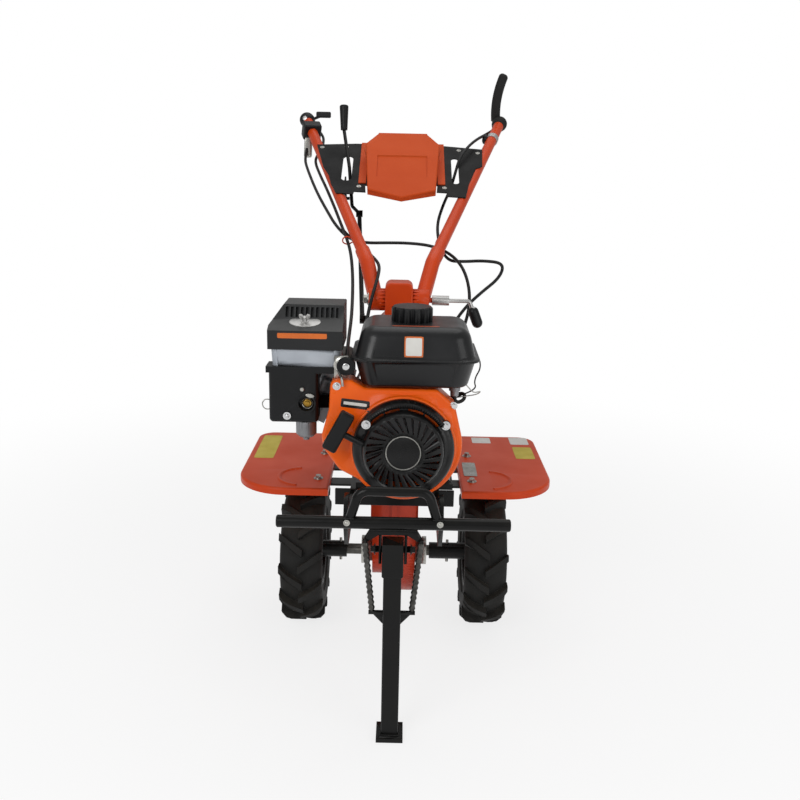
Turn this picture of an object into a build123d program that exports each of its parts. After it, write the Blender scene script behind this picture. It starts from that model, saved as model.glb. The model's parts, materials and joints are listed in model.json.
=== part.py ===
from build123d import *
from math import atan2, cos, degrees, hypot, pi, radians, sin, tan
import os

# Walk-behind power tiller. Millimetres, +Z up, the machine faces -Y and its axle runs along X.
# Pieces are modelled about the axle line at Y 0 and moved at the end, so that the origin
# is on the ground under the middle of the outline.

# Wheels and axle
TYRE_R = 163.0
TYRE_WIDTH = 95.0
TYRE_WALL = 9.0
TYRE_SIDES = 39
CAVITY_SIDES = 13
LUG_HEIGHT = 16.0
LUG_WIDTH = 17.0
LUG_SWEEP = 38.0
LUGS_PER_SIDE = 13
WHEEL_TRACK = 408.0
RIM_SEAT_R = 76.0
RIM_FLANGE_R = 86.0
RIM_WIDTH = 72.0
RIM_WALL = 3.0
DISC_HOLE_R = 9.0
DISC_HOLES = 4
HUB_R = 19.0
HUB_OUTER_REACH = 46.0
HUB_INNER_LEFT = 110.0
HUB_INNER_RIGHT = 82.0
HEX_FLATS = 23.0
JOURNAL_R = 14.0
RUN_GAP = 0.3
FENDER_GAP = 42.0

# Gearbox
CASE_HALF = 49.0
CASE_LOWER_R = 54.0
FINAL_DRIVE_R = 92.0
FINAL_DRIVE_X = (6.0, 46.0)
CASE_FRONT = 104.0
CASE_REAR = 78.0
CASE_SHOULDER_Z = 395.0
CASE_TOP_Z = 565.0
SEAM_LIP = 7.0
SEAM_THICK = 12.0
BELL_R = 88.0
BELL_LENGTH = 42.0
CASE_BOLT_R = 8.0
CASE_BOLTS_Z = (215.0, 268.0, 320.0)
CASE_RIB = 5.0
CAP_R = 32.5
CAP_BOSS_R = 27.0
CAP_LENGTH = 26.0
CAP_RIM = 10.0

# Engine
ENGINE_X = 15.0
BED_OVER_AXLE = 251.0
CRANK_RISE = 106.0
ENGINE_REAR = 112.0
CASE_DEPTH = 154.0
CRANKCASE_LEFT = 80.0
CRANKCASE_RIGHT = 88.0
CRANKCASE_HEIGHT = 172.0
FOOT_THICK = 12.0
CASE_RIBS = 5
CASE_RIB_THICK = 5.0
DIPSTICK_R = 12.0
CYLINDER_TILT = 25.0
FIN_FIRST = 88.0
FIN_PITCH = 9.0
FIN_THICK = 3.0
FIN_COUNT = 7
HEAD_DEPTH = 104.0
HEAD_THICK = 20.0
PORT_LENGTH = 16.0
SHROUD_DEPTH = 62.0
SHROUD_WALL = 3.0
SHROUD_R = 111.0
SHROUD_CORNER_R = 14.0
SHROUD_EDGE = 7.0
SHROUD_STEP = 14.0
COLLAR_R = 100.0
SHROUD_CORNERS = [
    (96.0, 80.0), (62.0, 110.0), (-74.0, 110.0), (-100.0, 125.0), (-139.0, 126.0), (-142.0, 68.0), (-156.0, 16.0),
    (-153.0, -9.0), (-122.0, -52.0),
]
COLLAR_EDGE = 4.0
FAN_MOUTH_R = 70.0
RECOIL_R = 96.0
RECOIL_FACE_R = 75.0
RECOIL_DEPTH = 37.0
RECOIL_WALL = 3.0
RECOIL_SHELF = 15.0
RECOIL_SLOTS = 28
SLOT_SWIRL = 30.0
SLOT_WIDTHS = (3.0, 6.5)
HUB_PLATE_R = 34.0
ARCH_BAND = (84.0, 93.0)
ARCH_RISE = 8.0
ARCH_FOOT = 48.0
VENT_R = 79.5
VENT_WIDTH = 4.5
VENT_ARCS = ((38.0, 22.0), (65.0, 18.0), (97.0, 18.0), (120.0, 22.0))
RECOIL_BOLTS = ((-70.0, 51.0), (78.0, 51.0))
BOLT_BOSS_R = 9.0
PULL_SIZE = (28.0, 20.0, 80.0)
PULL_TILT = 28.0
PULL_PLACE = (-106.0, 37.0)
PULL_ROOT = (-60.5, 13.0)
PULL_OUT = 25.0
NECK_R = 6.0
TANK_WIDTH = 240.0
TANK_DEPTH = 205.0
TANK_X = 34.0
TANK_Y = -236.0
TANK_BOTTOM_Z = 634.0
TANK_SEAM_Z = 690.0
TANK_TOP_Z = 747.0
TANK_CORNER_R = 34.0
TANK_CROWN_R = 28.0
TANK_FOOT_R = 9.0
TANK_FLANGE = 4.0
CAP_TOP_R = 40.0
CAP_GRIPS = 12
FUEL_CAP_HEIGHT = 28.0
CLEANER_X = (-244.0, -103.0)
CLEANER_FRONT = -292.0
CLEANER_DEPTH = 128.0
CLEANER_TOP_Z = 776.0
COVER_BOTTOM_Z = 697.0
COVER_FACE = 36.0
COVER_APRON = 34.0
COVER_APRON_RISE = 15.0
COVER_BROW = 14.0
COVER_SHOULDER = (26.0, 36.0)
COVER_EDGE = 3.0
LOUVRES = 11
LOUVRE_PITCH = 9.6
LOUVRE_WIDTH = 4.6
CUP_BOTTOM_Z = 664.0
CUP_INSET = 5.0
INTAKE_BOTTOM_Z = 554.0
INTAKE_DEPTH = 46.0
INTAKE_WIDTH = 94.0
INTAKE_LIP = 12.0
INTAKE_LIP_REACH = 40.0
RECESS_R = 15.0
RECESS_PLACE = (-22.0, 40.0)
SCREW_BOSS_R = 7.0
SCREW_BOSS_PLACE = (33.0, 14.0)
BOWL_R = 20.0
BOWL_HEIGHT = 32.0
MUFFLER_SIZE = (114.0, 96.0, 100.0)
MUFFLER_EDGE = 16.0
GUARD_SLOTS = (4, 5)
GUARD_SLOT_SIZE = (20.0, 6.0)
GOVERNOR_X = (-118.0, -92.0)
GOVERNOR_RISE = 42.0
GOVERNOR_PLATE = 4.0
CABLE_WHEEL_R = 15.0
CABLE_WHEEL_PLACE = (-104.0, 672.0)

# Frame, bumper and stand
BED_HALF = 88.0
BED_PLATE = 6.0
RAIL_THICK = 8.0
RAIL_HEIGHT = 40.0
BUMPER_REACH = 488.0
BUMPER_Z = 434.0
BUMPER_HALF = 204.0
BUMPER_BAR_R = 11.0
HOOP_R = 8.5
HOOP_HALF = 78.0
HOOP_TOP_HALF = 60.0
HOOP_TOP_Z = 501.0
STAND_PIVOT_Y = -479.0
STAND_PIVOT_Z = 381.0
STAND_FOOT_Y = -471.0
LEG_SIZE = 32.0
SLEEVE_SIZE = 38.0
SLEEVE_LENGTH = 62.0
FOOT_WIDTH = 50.0
FOOT_DEPTH = 54.0
FOOT_PLATE = 8.0
PIVOT_PIN_R = 6.0
CHEEK_THICK = 5.0
CHEEK_GAP = 1.0
ARCH_HALF = 54.0
ARCH_DROP = 24.0
ARCH_PLATE = 6.0
HOOK_R = 3.0
EAR_DROP = 125.0
EAR_X = 36.0
EAR_R = 4.0
GUSSET_DROP = 22.0
GUSSET_THICK = 5.0
SPRING_R = 6.0
SPRING_TURNS = 13
SPRING_SEAT = 0.8

# Fenders
FENDER_INNER = 142.0
FENDER_OUTER = 345.0
FENDER_FRONT = 152.0
FENDER_REAR = 250.0
FENDER_LIP = 16.0
FENDER_SHEET = 2.5
FENDER_CORNER_R = 110.0
FENDER_REAR_R = 40.0
FENDER_EDGE = 6.0
EMBOSS_CENTRE = (200.0, -78.0)
EMBOSS_R = 56.0
EMBOSS_WIDTH = 9.0
EMBOSS_RISE = 2.5
STAY_WIDTH = 40.0
STAY_THICK = 5.0
STAY_Y = 50.0

# Handlebar
COLUMN_Y = 60.0
PIVOT_Z = 742.0
COLUMN_HALF = 31.0
COLUMN_DEPTH = 62.0
COLUMN_TOP_Z = 783.0
COLUMN_FLARE = 14.0
COLUMN_EDGE = 14.0
TUBE_R = 14.0
TUBE_WALL = 2.5
SOCKET_R = 17.0
SOCKET_LENGTH = 45.0
KNUCKLE_R = 25.0
KNUCKLE_WIDTH = 13.0
SERRATIONS = 18
TUBE_BEND = 40.0
TUBE_BASE_X = 52.0
ELBOW_X = 75.0
ELBOW_RUN = 70.0
ELBOW_RISE = 76.0
HANDLE_SPREAD = 273.0
HANDLE_RUN = 665.0
HANDLE_RISE = 406.0
GRIP_LENGTH = 125.0
GRIP_CAP = 4.0
GRIP_START = 40.0
CLAMP_START = 13.0
CLAMP_LENGTH = 24.0
CLAMP_BORE = 14.05
GRIP_R = 18.0
GRIP_RINGS = 7
GRIP_GROOVE = 1.6
GRIP_SPLAY = 7.0
PANEL_THICK = 2.5
PANEL_LEFT = [
    (-92.0, 306.0), (-90.0, 274.0), (-119.0, 276.0), (-121.0, 264.0), (-164.0, 267.0), (-180.0, 314.0),
    (-188.0, 355.0), (-205.0, 396.0), (-230.0, 510.0), (-125.0, 519.0),
]
PANEL_RIGHT = [
    (113.0, 515.0), (213.0, 501.0), (209.0, 413.0), (191.0, 400.0), (170.0, 320.0), (160.0, 257.0),
    (114.0, 261.0),
    (114.0, 278.0), (88.0, 280.0), (90.0, 312.0),
]
GATE_SLOT = (-142.0, 389.0, 26.0, 124.0)
CABLE_SLOT = (137.0, 385.0, 18.0, 128.0)
DASH_LOW = 232.0
DASH_SIDE_LOW = 262.0
DASH_SIDE_HIGH = 446.0
DASH_CREST = 490.0
DASH_BACK = 545.0
DASH_LOW_HALF = 85.0
DASH_HIGH_HALF = 96.0
DASH_TOP_HALF = 64.0
DASH_LOW_RISE = 13.0
DASH_CREST_RISE = 48.0
DASH_WALL = 2.5
DASH_EDGE = 4.0
DASH_RECESS = (310.0, 396.0, 64.0, 3.0)
DASH_STRIP = (91.0, 110.0, 314.0, 520.0)
LOCK_SLEEVE = 38.0
LOCK_SLEEVE_R = 11.0
LOCK_ROD_R = 4.5
LOCK_KNOB_R = 12.0
LEVER_R = 13.0
LEVER_CURVE = [(-10.0, 17.0, 10.0), (-11.0, 3.0, 62.0), (7.0, -9.0, 133.0)]
HOUSING_R = 21.0
PADDLE_SIZE = (42.0, 11.0, 17.0)
PADDLE_PLACE = (46.0, 0.0, 16.0)
CLAMP_SIZE = (50.0, 44.0, 32.0)
CLAMP_BACK = 64.0
TRIGGER_SIZE = (22.0, 12.0, 62.0)
TRIGGER_OFFSET = (-8.0, -16.0, -44.0)
TRIGGER_LEAN = 22.0
SHIFT_KNOB_TOP = (-158.0, 566.0, 1182.0)
SHIFT_ROUTE = [
    (-157.0, 556.0, 1118.0), (-137.0, 470.0, 1022.0), (-128.0, 440.0, 926.0), (-108.0, 425.0, 908.0),
    (-84.0, 104.0, 690.0),
]
SHIFT_PIVOT = (-130.0, 446.0, 945.0)
SHIFT_PIN = 10.0
SHIFT_BEND = 9.0
SHIFT_ROD_R = 4.5
SHIFT_LINK_R = 5.5
SHIFT_KNOB_R = 12.0
SHIFT_KNOB_NECK_R = 9.0
HITCH_PIN_R = 8.0
HITCH_REACH = 62.0
HITCH_HALF = 26.0
HITCH_PLATE = 8.0
HITCH_GAP = 52.0
HITCH_PIN_BACK = 22.0

# Control cables, points chosen by hand from each lever down to the engine or the gear case
CABLE_R = 3.75
ROUTE_RUN = 665.0
ROUTE_RISE = 406.0
THROTTLE_ROUTE = [
    (-259, 739, 1134), (-226, 702, 1111), (-220, 660, 1082), (-231, 610, 1056), (-237, 570, 1036),
    (-219, 505, 1006), (-192, 425, 968), (-164, 343, 922),
    (-145, 285, 888), (-131, 237, 866), (-116, 188, 834), (-107, 118, 788), (-103, 40, 742),
    (-101, -40, 712), (-101, -120, 692),
    (-99, -200, 680), (-97, -253, 674), (-97, -293.5, 672),
]
REVERSE_ROUTE = [
    (-266, 648, 1068), (-268, 604, 1042), (-255, 548, 1016), (-220, 440, 960), (-184, 345, 916),
    (-157, 284, 884),
    (-122, 254, 856), (-83, 250, 849), (-32, 246, 851), (21, 240, 852), (73, 232, 848), (116, 212, 834),
    (146, 178, 808),
    (161, 136, 769), (162, 96, 724), (148, 62, 680), (126, 36, 634), (102, 18, 588), (76, 10, 562),
    (49.4, 9, 560),
]
CLUTCH_ROUTE = [
    (259, 740, 1133), (229, 660, 1116), (203, 590, 1104), (174, 535, 1083), (149, 488, 1052),
    (138, 462, 1014), (126, 440, 974),
    (106, 392, 936), (89, 322, 892), (93, 255, 850), (113, 218, 814), (149, 204, 814), (197, 200, 818),
    (246, 192, 814),
    (236, 174, 782), (190, 150, 748), (156, 126, 720), (127, 96, 686), (102, 70, 640), (80, 48, 590),
    (66, 40, 559), (49.4, 39, 558),
]
STOP_WIRE_ROUTE = [
    (-82, 206, 836), (-61, 162, 824), (-46, 118, 812), (-47, 72, 795), (-57, 28, 761), (-66, -4, 724),
    (-70, -45, 688), (-57, -84, 655),
    (-38, -112, 628), (-31, -134.6, 618),
]

# Worked out from the sizes above
AXLE_Z = TYRE_R
FENDER_Z = 2 * TYRE_R + FENDER_GAP
BED_Z = AXLE_Z + BED_OVER_AXLE
CRANK_Z = BED_Z + CRANK_RISE
ENGINE_FRONT = ENGINE_REAR + CASE_DEPTH
ENGINE_MIDDLE = (ENGINE_FRONT + ENGINE_REAR) / 2
SHROUD_FRONT = ENGINE_FRONT + SHROUD_DEPTH
FRONT_REACH = BUMPER_REACH + BUMPER_BAR_R
REAR_REACH = COLUMN_Y + HANDLE_RUN + GRIP_LENGTH
AXLE_Y = (FRONT_REACH - REAR_REACH) / 2
RAIL_X = BED_HALF - RAIL_THICK
HITCH_Z = CASE_SHOULDER_Z - 60
SIDES = {"left": -1, "right": 1}


def block(x_span, y_span, z_span):
    """Box between three pairs of limits."""
    size = [b - a for a, b in (x_span, y_span, z_span)]
    middle = [(a + b) / 2 for a, b in (x_span, y_span, z_span)]
    return Pos(*middle) * Box(*size)


def rod(start, end, radius):
    """Round bar between two points."""
    start, end = Vector(*start), Vector(*end)
    base = Plane(origin=start, z_dir=end - start)
    return base * Cylinder(radius, (end - start).length, align=(Align.CENTER, Align.CENTER, Align.MIN))


def bent_bar(points, bends, section):
    """Bar of a given section swept along straight runs and tangent arcs."""
    path = FilletPolyline(*points, radius=bends)
    return sweep(Plane(origin=path @ 0, z_dir=path % 0) * section, path=path)


def wheel_at(side):
    """Place of a wheel's middle on the axle line."""
    return Pos(side * WHEEL_TRACK / 2, 0, AXLE_Z)


def faceted_ring(profile, sides):
    """Solid about the X axis with flat facets, from pairs of X and radius."""
    bands = []
    for ends in zip(profile, profile[1:]):
        sections = [Plane.YZ.offset(x) * RegularPolygon(radius, sides, rotation=90) for x, radius in ends]
        bands.append(loft(Sketch() + sections, ruled=True))
    return bands[0].fuse(*bands[1:])


def both_ways(half):
    """A ring profile from its right half, taken across the middle plane."""
    return [(-x, radius) for x, radius in half] + half[::-1]


def tyre_casing():
    """Hollow tyre with bulged walls, dished sides and two beads that sit on the rim."""
    bead = RIM_WIDTH / 2
    half = TYRE_WIDTH / 2
    crown = TYRE_R - LUG_HEIGHT
    belly = (RIM_FLANGE_R + crown) / 2
    outer = [(half, belly), (half - 6, crown - 8), (half / 3, crown)]
    widest = half - TYRE_WALL
    cavity = faceted_ring(both_ways([(widest, belly), (widest - 6, crown - 8 - TYRE_WALL)]), CAVITY_SIDES)
    casing = faceted_ring(both_ways(outer), TYRE_SIDES)
    for side in SIDES.values():
        cavity -= faceted_ring([(side * (bead - TYRE_WALL), RIM_SEAT_R), (side * widest, belly)], CAVITY_SIDES)
        casing -= faceted_ring([(side * bead, RIM_FLANGE_R + 1), (side * half, belly - 1)], TYRE_SIDES)
    seat = RIM_SEAT_R / cos(pi / CAVITY_SIDES)
    return casing - cavity - faceted_ring([(-half, seat), (half, seat)], CAVITY_SIDES)


def tread_lug():
    """One slanted lug at the top of the wheel, from just past the middle out to the shoulder."""
    half = TYRE_WIDTH / 2
    lead = half * tan(radians(LUG_SWEEP))
    root = TYRE_R - 2.2 * LUG_HEIGHT
    overlap = LUG_WIDTH / 4
    plan = make_face(
        Polyline(
            (-overlap, -LUG_WIDTH / 2), (half, lead - LUG_WIDTH / 2), (half, lead + LUG_WIDTH / 2),
            (-overlap, LUG_WIDTH / 2), close=True,
        )
    )
    blank = extrude(Pos(0, 0, root) * plan, TYRE_R - root)
    shoulder = LUG_HEIGHT * 0.7
    reach = both_ways([(half, TYRE_R - shoulder), (half - shoulder, TYRE_R)])
    return blank & faceted_ring(reach, TYRE_SIDES)


def tyre():
    """Tyre with two staggered rows of lugs, about the middle of its own axle."""
    pitch = 360 / LUGS_PER_SIDE
    lug = tread_lug()
    twin = mirror(lug, about=Plane.YZ)
    right = [Rot(X=i * pitch) * lug for i in range(LUGS_PER_SIDE)]
    left = [Rot(X=(i + 0.5) * pitch) * twin for i in range(LUGS_PER_SIDE)]
    return tyre_casing() + right + left


def rim(side):
    """Pressed steel wheel with its hub tube on the hexagon of the axle."""
    half = RIM_WIDTH / 2
    inner = RIM_SEAT_R - RIM_WALL
    well = make_face(
        Polyline(
            (-half - RIM_WALL, RIM_FLANGE_R), (-half - RIM_WALL, inner), (half + RIM_WALL, inner),
            (half + RIM_WALL, RIM_FLANGE_R), (half, RIM_FLANGE_R), (half, RIM_SEAT_R), (-half, RIM_SEAT_R),
            (-half, RIM_FLANGE_R), close=True,
        )
    )
    disc = make_face(
        Polyline(
            (-RIM_WALL, HUB_R), (-RIM_WALL, inner - 18), (-RIM_WALL - 10, inner), (-10, inner),
            (0, inner - 18), (0, HUB_R), close=True,
        )
    )
    wheel = revolve(well, Axis.X) + revolve(disc, Axis.X)
    hole_ring = (HUB_R + inner - 18) / 2 + 3
    for i in range(DISC_HOLES):
        wheel -= Rot(X=45 + i * 360 / DISC_HOLES) * Pos(-RIM_WALL / 2, 0, hole_ring) * Rot(Y=90) * Cylinder(
            DISC_HOLE_R, 4 * RIM_WALL
        )
    inboard = WHEEL_TRACK / 2 - (HUB_INNER_LEFT if side < 0 else HUB_INNER_RIGHT)
    hub = rod((-inboard, 0, 0), (HUB_OUTER_REACH, 0, 0), HUB_R)
    bore = Rot(Y=90) * extrude(RegularPolygon(HEX_FLATS / 2, 6, major_radius=False), WHEEL_TRACK, both=True)
    wheel = wheel + (hub - bore)
    if side < 0:
        wheel = mirror(wheel, about=Plane.YZ)
    return wheel_at(side) * wheel


def hex_axle():
    """Hexagon shaft with a round journal inside the gearbox."""
    length = WHEEL_TRACK / 2 + HUB_OUTER_REACH - 2
    hexagon = Rot(Y=90) * extrude(RegularPolygon(HEX_FLATS / 2, 6, major_radius=False), length, both=True)
    reach = CASE_HALF + CAP_LENGTH + 1
    return Pos(0, 0, AXLE_Z) * (hexagon + rod((-reach, 0, 0), (reach, 0, 0), JOURNAL_R))


def gearbox_profile():
    """Side view of the case: round about the axle, wider behind the engine."""
    neck = CASE_LOWER_R * 0.97
    upper = make_face(
        Polyline(
            (-neck, AXLE_Z), (-CASE_FRONT, CASE_SHOULDER_Z), (-CASE_FRONT, CASE_TOP_Z), (CASE_REAR, CASE_TOP_Z),
            (CASE_REAR, CASE_SHOULDER_Z), (neck, AXLE_Z), close=True,
        )
    )
    return upper + Pos(0, AXLE_Z) * Circle(CASE_LOWER_R)


def gearbox_seam():
    """Raised lip where the two halves of the case meet."""
    return extrude(Plane.YZ * offset(gearbox_profile(), SEAM_LIP), SEAM_THICK / 2, both=True)


def gearbox_case():
    """Two-half gear case with a seam lip, final drive bulge and clutch bell."""
    profile = Plane.YZ * gearbox_profile()
    case = extrude(profile, CASE_HALF, both=True) + gearbox_seam()
    low, high = FINAL_DRIVE_X
    case += rod((low, 0, AXLE_Z), (high, 0, AXLE_Z), FINAL_DRIVE_R)
    bell = Plane.XZ.offset(CASE_FRONT - BELL_LENGTH) * Pos(ENGINE_X, CRANK_Z) * Circle(BELL_R * 0.7)
    flange = Plane.XZ.offset(ENGINE_REAR) * Pos(ENGINE_X, CRANK_Z) * Circle(BELL_R)
    case += loft(Sketch() + [bell, flange])
    neck = CASE_LOWER_R * 0.97
    for z in CASE_BOLTS_Z:
        share = (z - AXLE_Z) / (CASE_SHOULDER_Z - AXLE_Z)
        for y in (-neck - share * (CASE_FRONT - neck), neck + share * (CASE_REAR - neck)):
            case += rod((-SEAM_THICK, y, z), (SEAM_THICK, y, z), CASE_BOLT_R)
    top_rib = CASE_HALF + CASE_RIB
    for y in (-CASE_LOWER_R / 2, CASE_LOWER_R / 2):
        low, high = AXLE_Z + CAP_R + 8, CASE_SHOULDER_Z - 90
        case += block((-top_rib, top_rib), (y - CASE_RIB / 2, y + CASE_RIB / 2), (low, high))
    return case - rod((-WHEEL_TRACK, 0, AXLE_Z), (WHEEL_TRACK, 0, AXLE_Z), JOURNAL_R + RUN_GAP)


def axle_caps():
    """Bearing caps on both sides of the gear case."""
    outer = CASE_HALF + CAP_LENGTH
    caps = []
    for side in SIDES.values():
        cap = rod((side * CASE_HALF, 0, AXLE_Z), (side * outer, 0, AXLE_Z), CAP_BOSS_R)
        cap += rod((side * (outer - CAP_RIM), 0, AXLE_Z), (side * outer, 0, AXLE_Z), CAP_R)
        caps.append(cap - rod((side * CASE_HALF, 0, AXLE_Z), (side * outer, 0, AXLE_Z), JOURNAL_R + RUN_GAP))
    return Compound(children=caps)


def crankcase():
    """Engine block with its base flange and the posts that carry the tank."""
    top = BED_Z + CRANKCASE_HEIGHT
    left, right = ENGINE_X - CRANKCASE_LEFT, ENGINE_X + CRANKCASE_RIGHT
    body = block((left, right), (-ENGINE_FRONT, -ENGINE_REAR), (BED_Z + FOOT_THICK, top))
    body = fillet(body.edges().filter_by(Axis.Y), 22)
    foot = block((left - 12, right + 12), (-ENGINE_FRONT, -ENGINE_REAR), (BED_Z, BED_Z + FOOT_THICK))
    posts = [
        Pos(x, y, top) * Cylinder(8, TANK_BOTTOM_Z - top, align=(Align.CENTER, Align.CENTER, Align.MIN))
        for x in (ENGINE_X - 45, ENGINE_X + 55)
        for y in (-ENGINE_FRONT + 22, -ENGINE_REAR - 32)
    ]
    pitch = CASE_DEPTH / (CASE_RIBS + 1)
    ribs = [
        block(
            (right - 4, right + 7), (y - CASE_RIB_THICK / 2, y + CASE_RIB_THICK / 2),
            (BED_Z + FOOT_THICK, CRANK_Z - 20),
        )
        for y in (-ENGINE_FRONT + pitch * (i + 1) for i in range(CASE_RIBS))
    ]
    mouth = -ENGINE_FRONT + pitch
    filler = rod((right - 4, mouth, CRANK_Z), (right + 16, mouth, CRANK_Z + 12), DIPSTICK_R)
    return body + foot + posts + ribs + filler


def cylinder():
    """Finned barrel, head and rocker cover, tilted up to the left and seated on the block."""
    tilt = radians(CYLINDER_TILT)
    frame = Plane(origin=(ENGINE_X, -ENGINE_MIDDLE, CRANK_Z), x_dir=(0, 1, 0), z_dir=(-cos(tilt), 0, sin(tilt)))
    low = (Align.CENTER, Align.CENTER, Align.MIN)
    head = FIN_FIRST + FIN_COUNT * FIN_PITCH
    body = Pos(0, 0, 40) * Box(84, 84, head - 40, align=low)
    for i in range(FIN_COUNT):
        body += Pos(0, 0, FIN_FIRST + i * FIN_PITCH) * Box(112, 104, FIN_THICK, align=low)
    body += Pos(0, 0, head) * Box(HEAD_DEPTH, 98, HEAD_THICK, align=low)
    cover = Pos(0, 0, head + HEAD_THICK) * Box(92, 74, 24, align=low)
    body += fillet(cover.edges().filter_by(Axis.Z) + cover.faces().sort_by(Axis.Z)[-1].edges(), 9)
    return frame * body - crankcase()


def head_port():
    """X and Z of the ports in the middle of the cylinder head."""
    reach = FIN_FIRST + FIN_COUNT * FIN_PITCH + HEAD_THICK / 2
    tilt = radians(CYLINDER_TILT)
    return ENGINE_X - reach * cos(tilt), CRANK_Z + reach * sin(tilt)


def shroud_outline():
    """Front outline of the fan housing about the crank centre, X and Z."""
    right = (SHROUD_R, 18.0)
    foot = (-84.0, -72.0)
    line = Polyline(right, *SHROUD_CORNERS, foot)
    arc = ThreePointArc(foot, (0, -SHROUD_R), right)
    face = make_face([line, arc])
    corners = [v for v in face.vertices() if v.Y > foot[1] + 1 and v.X < right[0] - 1]
    return fillet(corners, SHROUD_CORNER_R)


def fan_shroud():
    """Sheet housing in front of the block: a stepped face, a round collar and an open mouth for the fan."""
    plane = Plane.XZ.offset(ENGINE_FRONT)
    place = Pos(ENGINE_X, CRANK_Z)
    body = extrude(plane * place * shroud_outline(), SHROUD_DEPTH - SHROUD_STEP)
    body = fillet(body.faces().sort_by(Axis.Y)[0].edges(), SHROUD_EDGE)
    collar = extrude(plane * place * Circle(COLLAR_R), SHROUD_DEPTH)
    body += fillet(collar.faces().sort_by(Axis.Y)[0].edges(), COLLAR_EDGE)
    inside = offset(shroud_outline(), -SHROUD_WALL)
    body -= extrude(plane * place * inside, SHROUD_DEPTH - SHROUD_STEP - SHROUD_WALL)
    body -= extrude(plane * place * Circle(COLLAR_R - SHROUD_WALL), SHROUD_DEPTH - SHROUD_WALL)
    return body - extrude(plane * place * Circle(FAN_MOUTH_R), SHROUD_DEPTH)


def recoil_front():
    """Plane on the shroud's front about the crank centre, X across, Y up and Z out to the front."""
    return Plane(origin=(ENGINE_X, -SHROUD_FRONT, CRANK_Z), x_dir=(1, 0, 0), z_dir=(0, -1, 0))


def swirl_slot():
    """Slanted slot of the starter's face, wider towards the rim."""
    inner, outer = HUB_PLATE_R + 7, RECOIL_FACE_R - 7
    narrow, wide = (width / 2 for width in SLOT_WIDTHS)
    lead = (outer - inner) * tan(radians(SLOT_SWIRL))
    return make_face(
        Polyline((inner, -narrow), (outer, lead - wide), (outer, lead + wide), (inner, narrow), close=True)
    )


def recoil_cover():
    """Dished starter cover: swirled slots round a plain plate, an arched brow with vents, two bolt bosses."""
    wall, lip = RECOIL_WALL, RECOIL_FACE_R + 4
    floor = RECOIL_DEPTH - 4
    outline = [
        (0, floor), (HUB_PLATE_R, floor), (HUB_PLATE_R + 2, RECOIL_DEPTH), (RECOIL_FACE_R - 5, RECOIL_DEPTH),
        (RECOIL_FACE_R, RECOIL_DEPTH - 5), (lip, RECOIL_SHELF + 2), (RECOIL_R - 5, RECOIL_SHELF),
        (RECOIL_R, RECOIL_SHELF - 5), (RECOIL_R, 0), (RECOIL_R - wall, 0), (RECOIL_R - wall, RECOIL_SHELF - 5),
        (lip - wall, RECOIL_SHELF - 1), (RECOIL_FACE_R - wall, floor - wall), (0, floor - wall),
    ]
    dish = revolve(Plane.XZ * make_face(Polyline(*outline, close=True)), Axis.Z)
    inner, outer = ARCH_BAND
    brow = (Circle(outer) - Circle(inner)) & Pos(0, ARCH_FOOT + RECOIL_R) * Rectangle(2 * RECOIL_R, 2 * RECOIL_R)
    dish += extrude(Pos(0, 0, RECOIL_SHELF - wall) * brow, wall + ARCH_RISE)
    for x, y in RECOIL_BOLTS:
        dish += Pos(x, y, RECOIL_SHELF) * Cylinder(BOLT_BOSS_R, ARCH_RISE)
    slots = [Rot(Z=i * 360 / RECOIL_SLOTS) * swirl_slot() for i in range(RECOIL_SLOTS)]
    dish -= extrude(Pos(0, 0, floor - 2 * wall) * (Sketch() + slots), 4 * wall)
    vents = [SlotArc(CenterArc((0, 0), VENT_R, start, span), VENT_WIDTH) for start, span in VENT_ARCS]
    dish -= extrude(Sketch() + vents, RECOIL_DEPTH)
    return recoil_front() * dish


def starter_grip():
    """Tilted pull handle with a neck that seats in the side of the starter cover."""
    handle = Box(*PULL_SIZE)
    handle = fillet(handle.edges(), 5)
    x, rise = PULL_PLACE
    y = -SHROUD_FRONT - PULL_OUT
    grip = Pos(x, y, CRANK_Z + rise) * Rot(Y=PULL_TILT) * handle
    root_x, root_rise = PULL_ROOT
    neck = rod((x, y, CRANK_Z + rise), (root_x, y, CRANK_Z + root_rise), NECK_R)
    return grip + neck - recoil_cover()


def tank_level(z, inset):
    """Rounded outline of the tank at a height."""
    width, depth = TANK_WIDTH - 2 * inset, TANK_DEPTH - 2 * inset
    return Pos(TANK_X, TANK_Y, z) * RectangleRounded(width, depth, TANK_CORNER_R)


def fuel_tank():
    """Two pressed halves that meet in a flange, the upper one pillowed, the lower one drawn in."""
    seam_low = TANK_SEAM_Z - TANK_FLANGE
    lower = loft(Sketch() + [tank_level(TANK_BOTTOM_Z, 20), tank_level(seam_low, 7)])
    lower = fillet(lower.faces().sort_by(Axis.Z)[0].edges(), TANK_FOOT_R)
    upper = loft(Sketch() + [tank_level(TANK_SEAM_Z, 7), tank_level(TANK_TOP_Z, 21)])
    upper = fillet(upper.faces().sort_by(Axis.Z)[-1].edges(), TANK_CROWN_R)
    return lower + extrude(tank_level(seam_low, 0), TANK_FLANGE) + upper


def fuel_cap():
    """Ribbed filler cap."""
    cap = Cylinder(CAP_TOP_R, FUEL_CAP_HEIGHT, align=(Align.CENTER, Align.CENTER, Align.MIN))
    cap = chamfer(cap.edges().sort_by(Axis.Z)[-1], 4)
    notch = Pos(CAP_TOP_R + 2, 0, FUEL_CAP_HEIGHT / 2) * Cylinder(6, FUEL_CAP_HEIGHT)
    for i in range(CAP_GRIPS):
        cap -= Rot(Z=i * 360 / CAP_GRIPS) * notch
    return Pos(TANK_X - 7, TANK_Y + 4, TANK_TOP_Z) * cap


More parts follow.
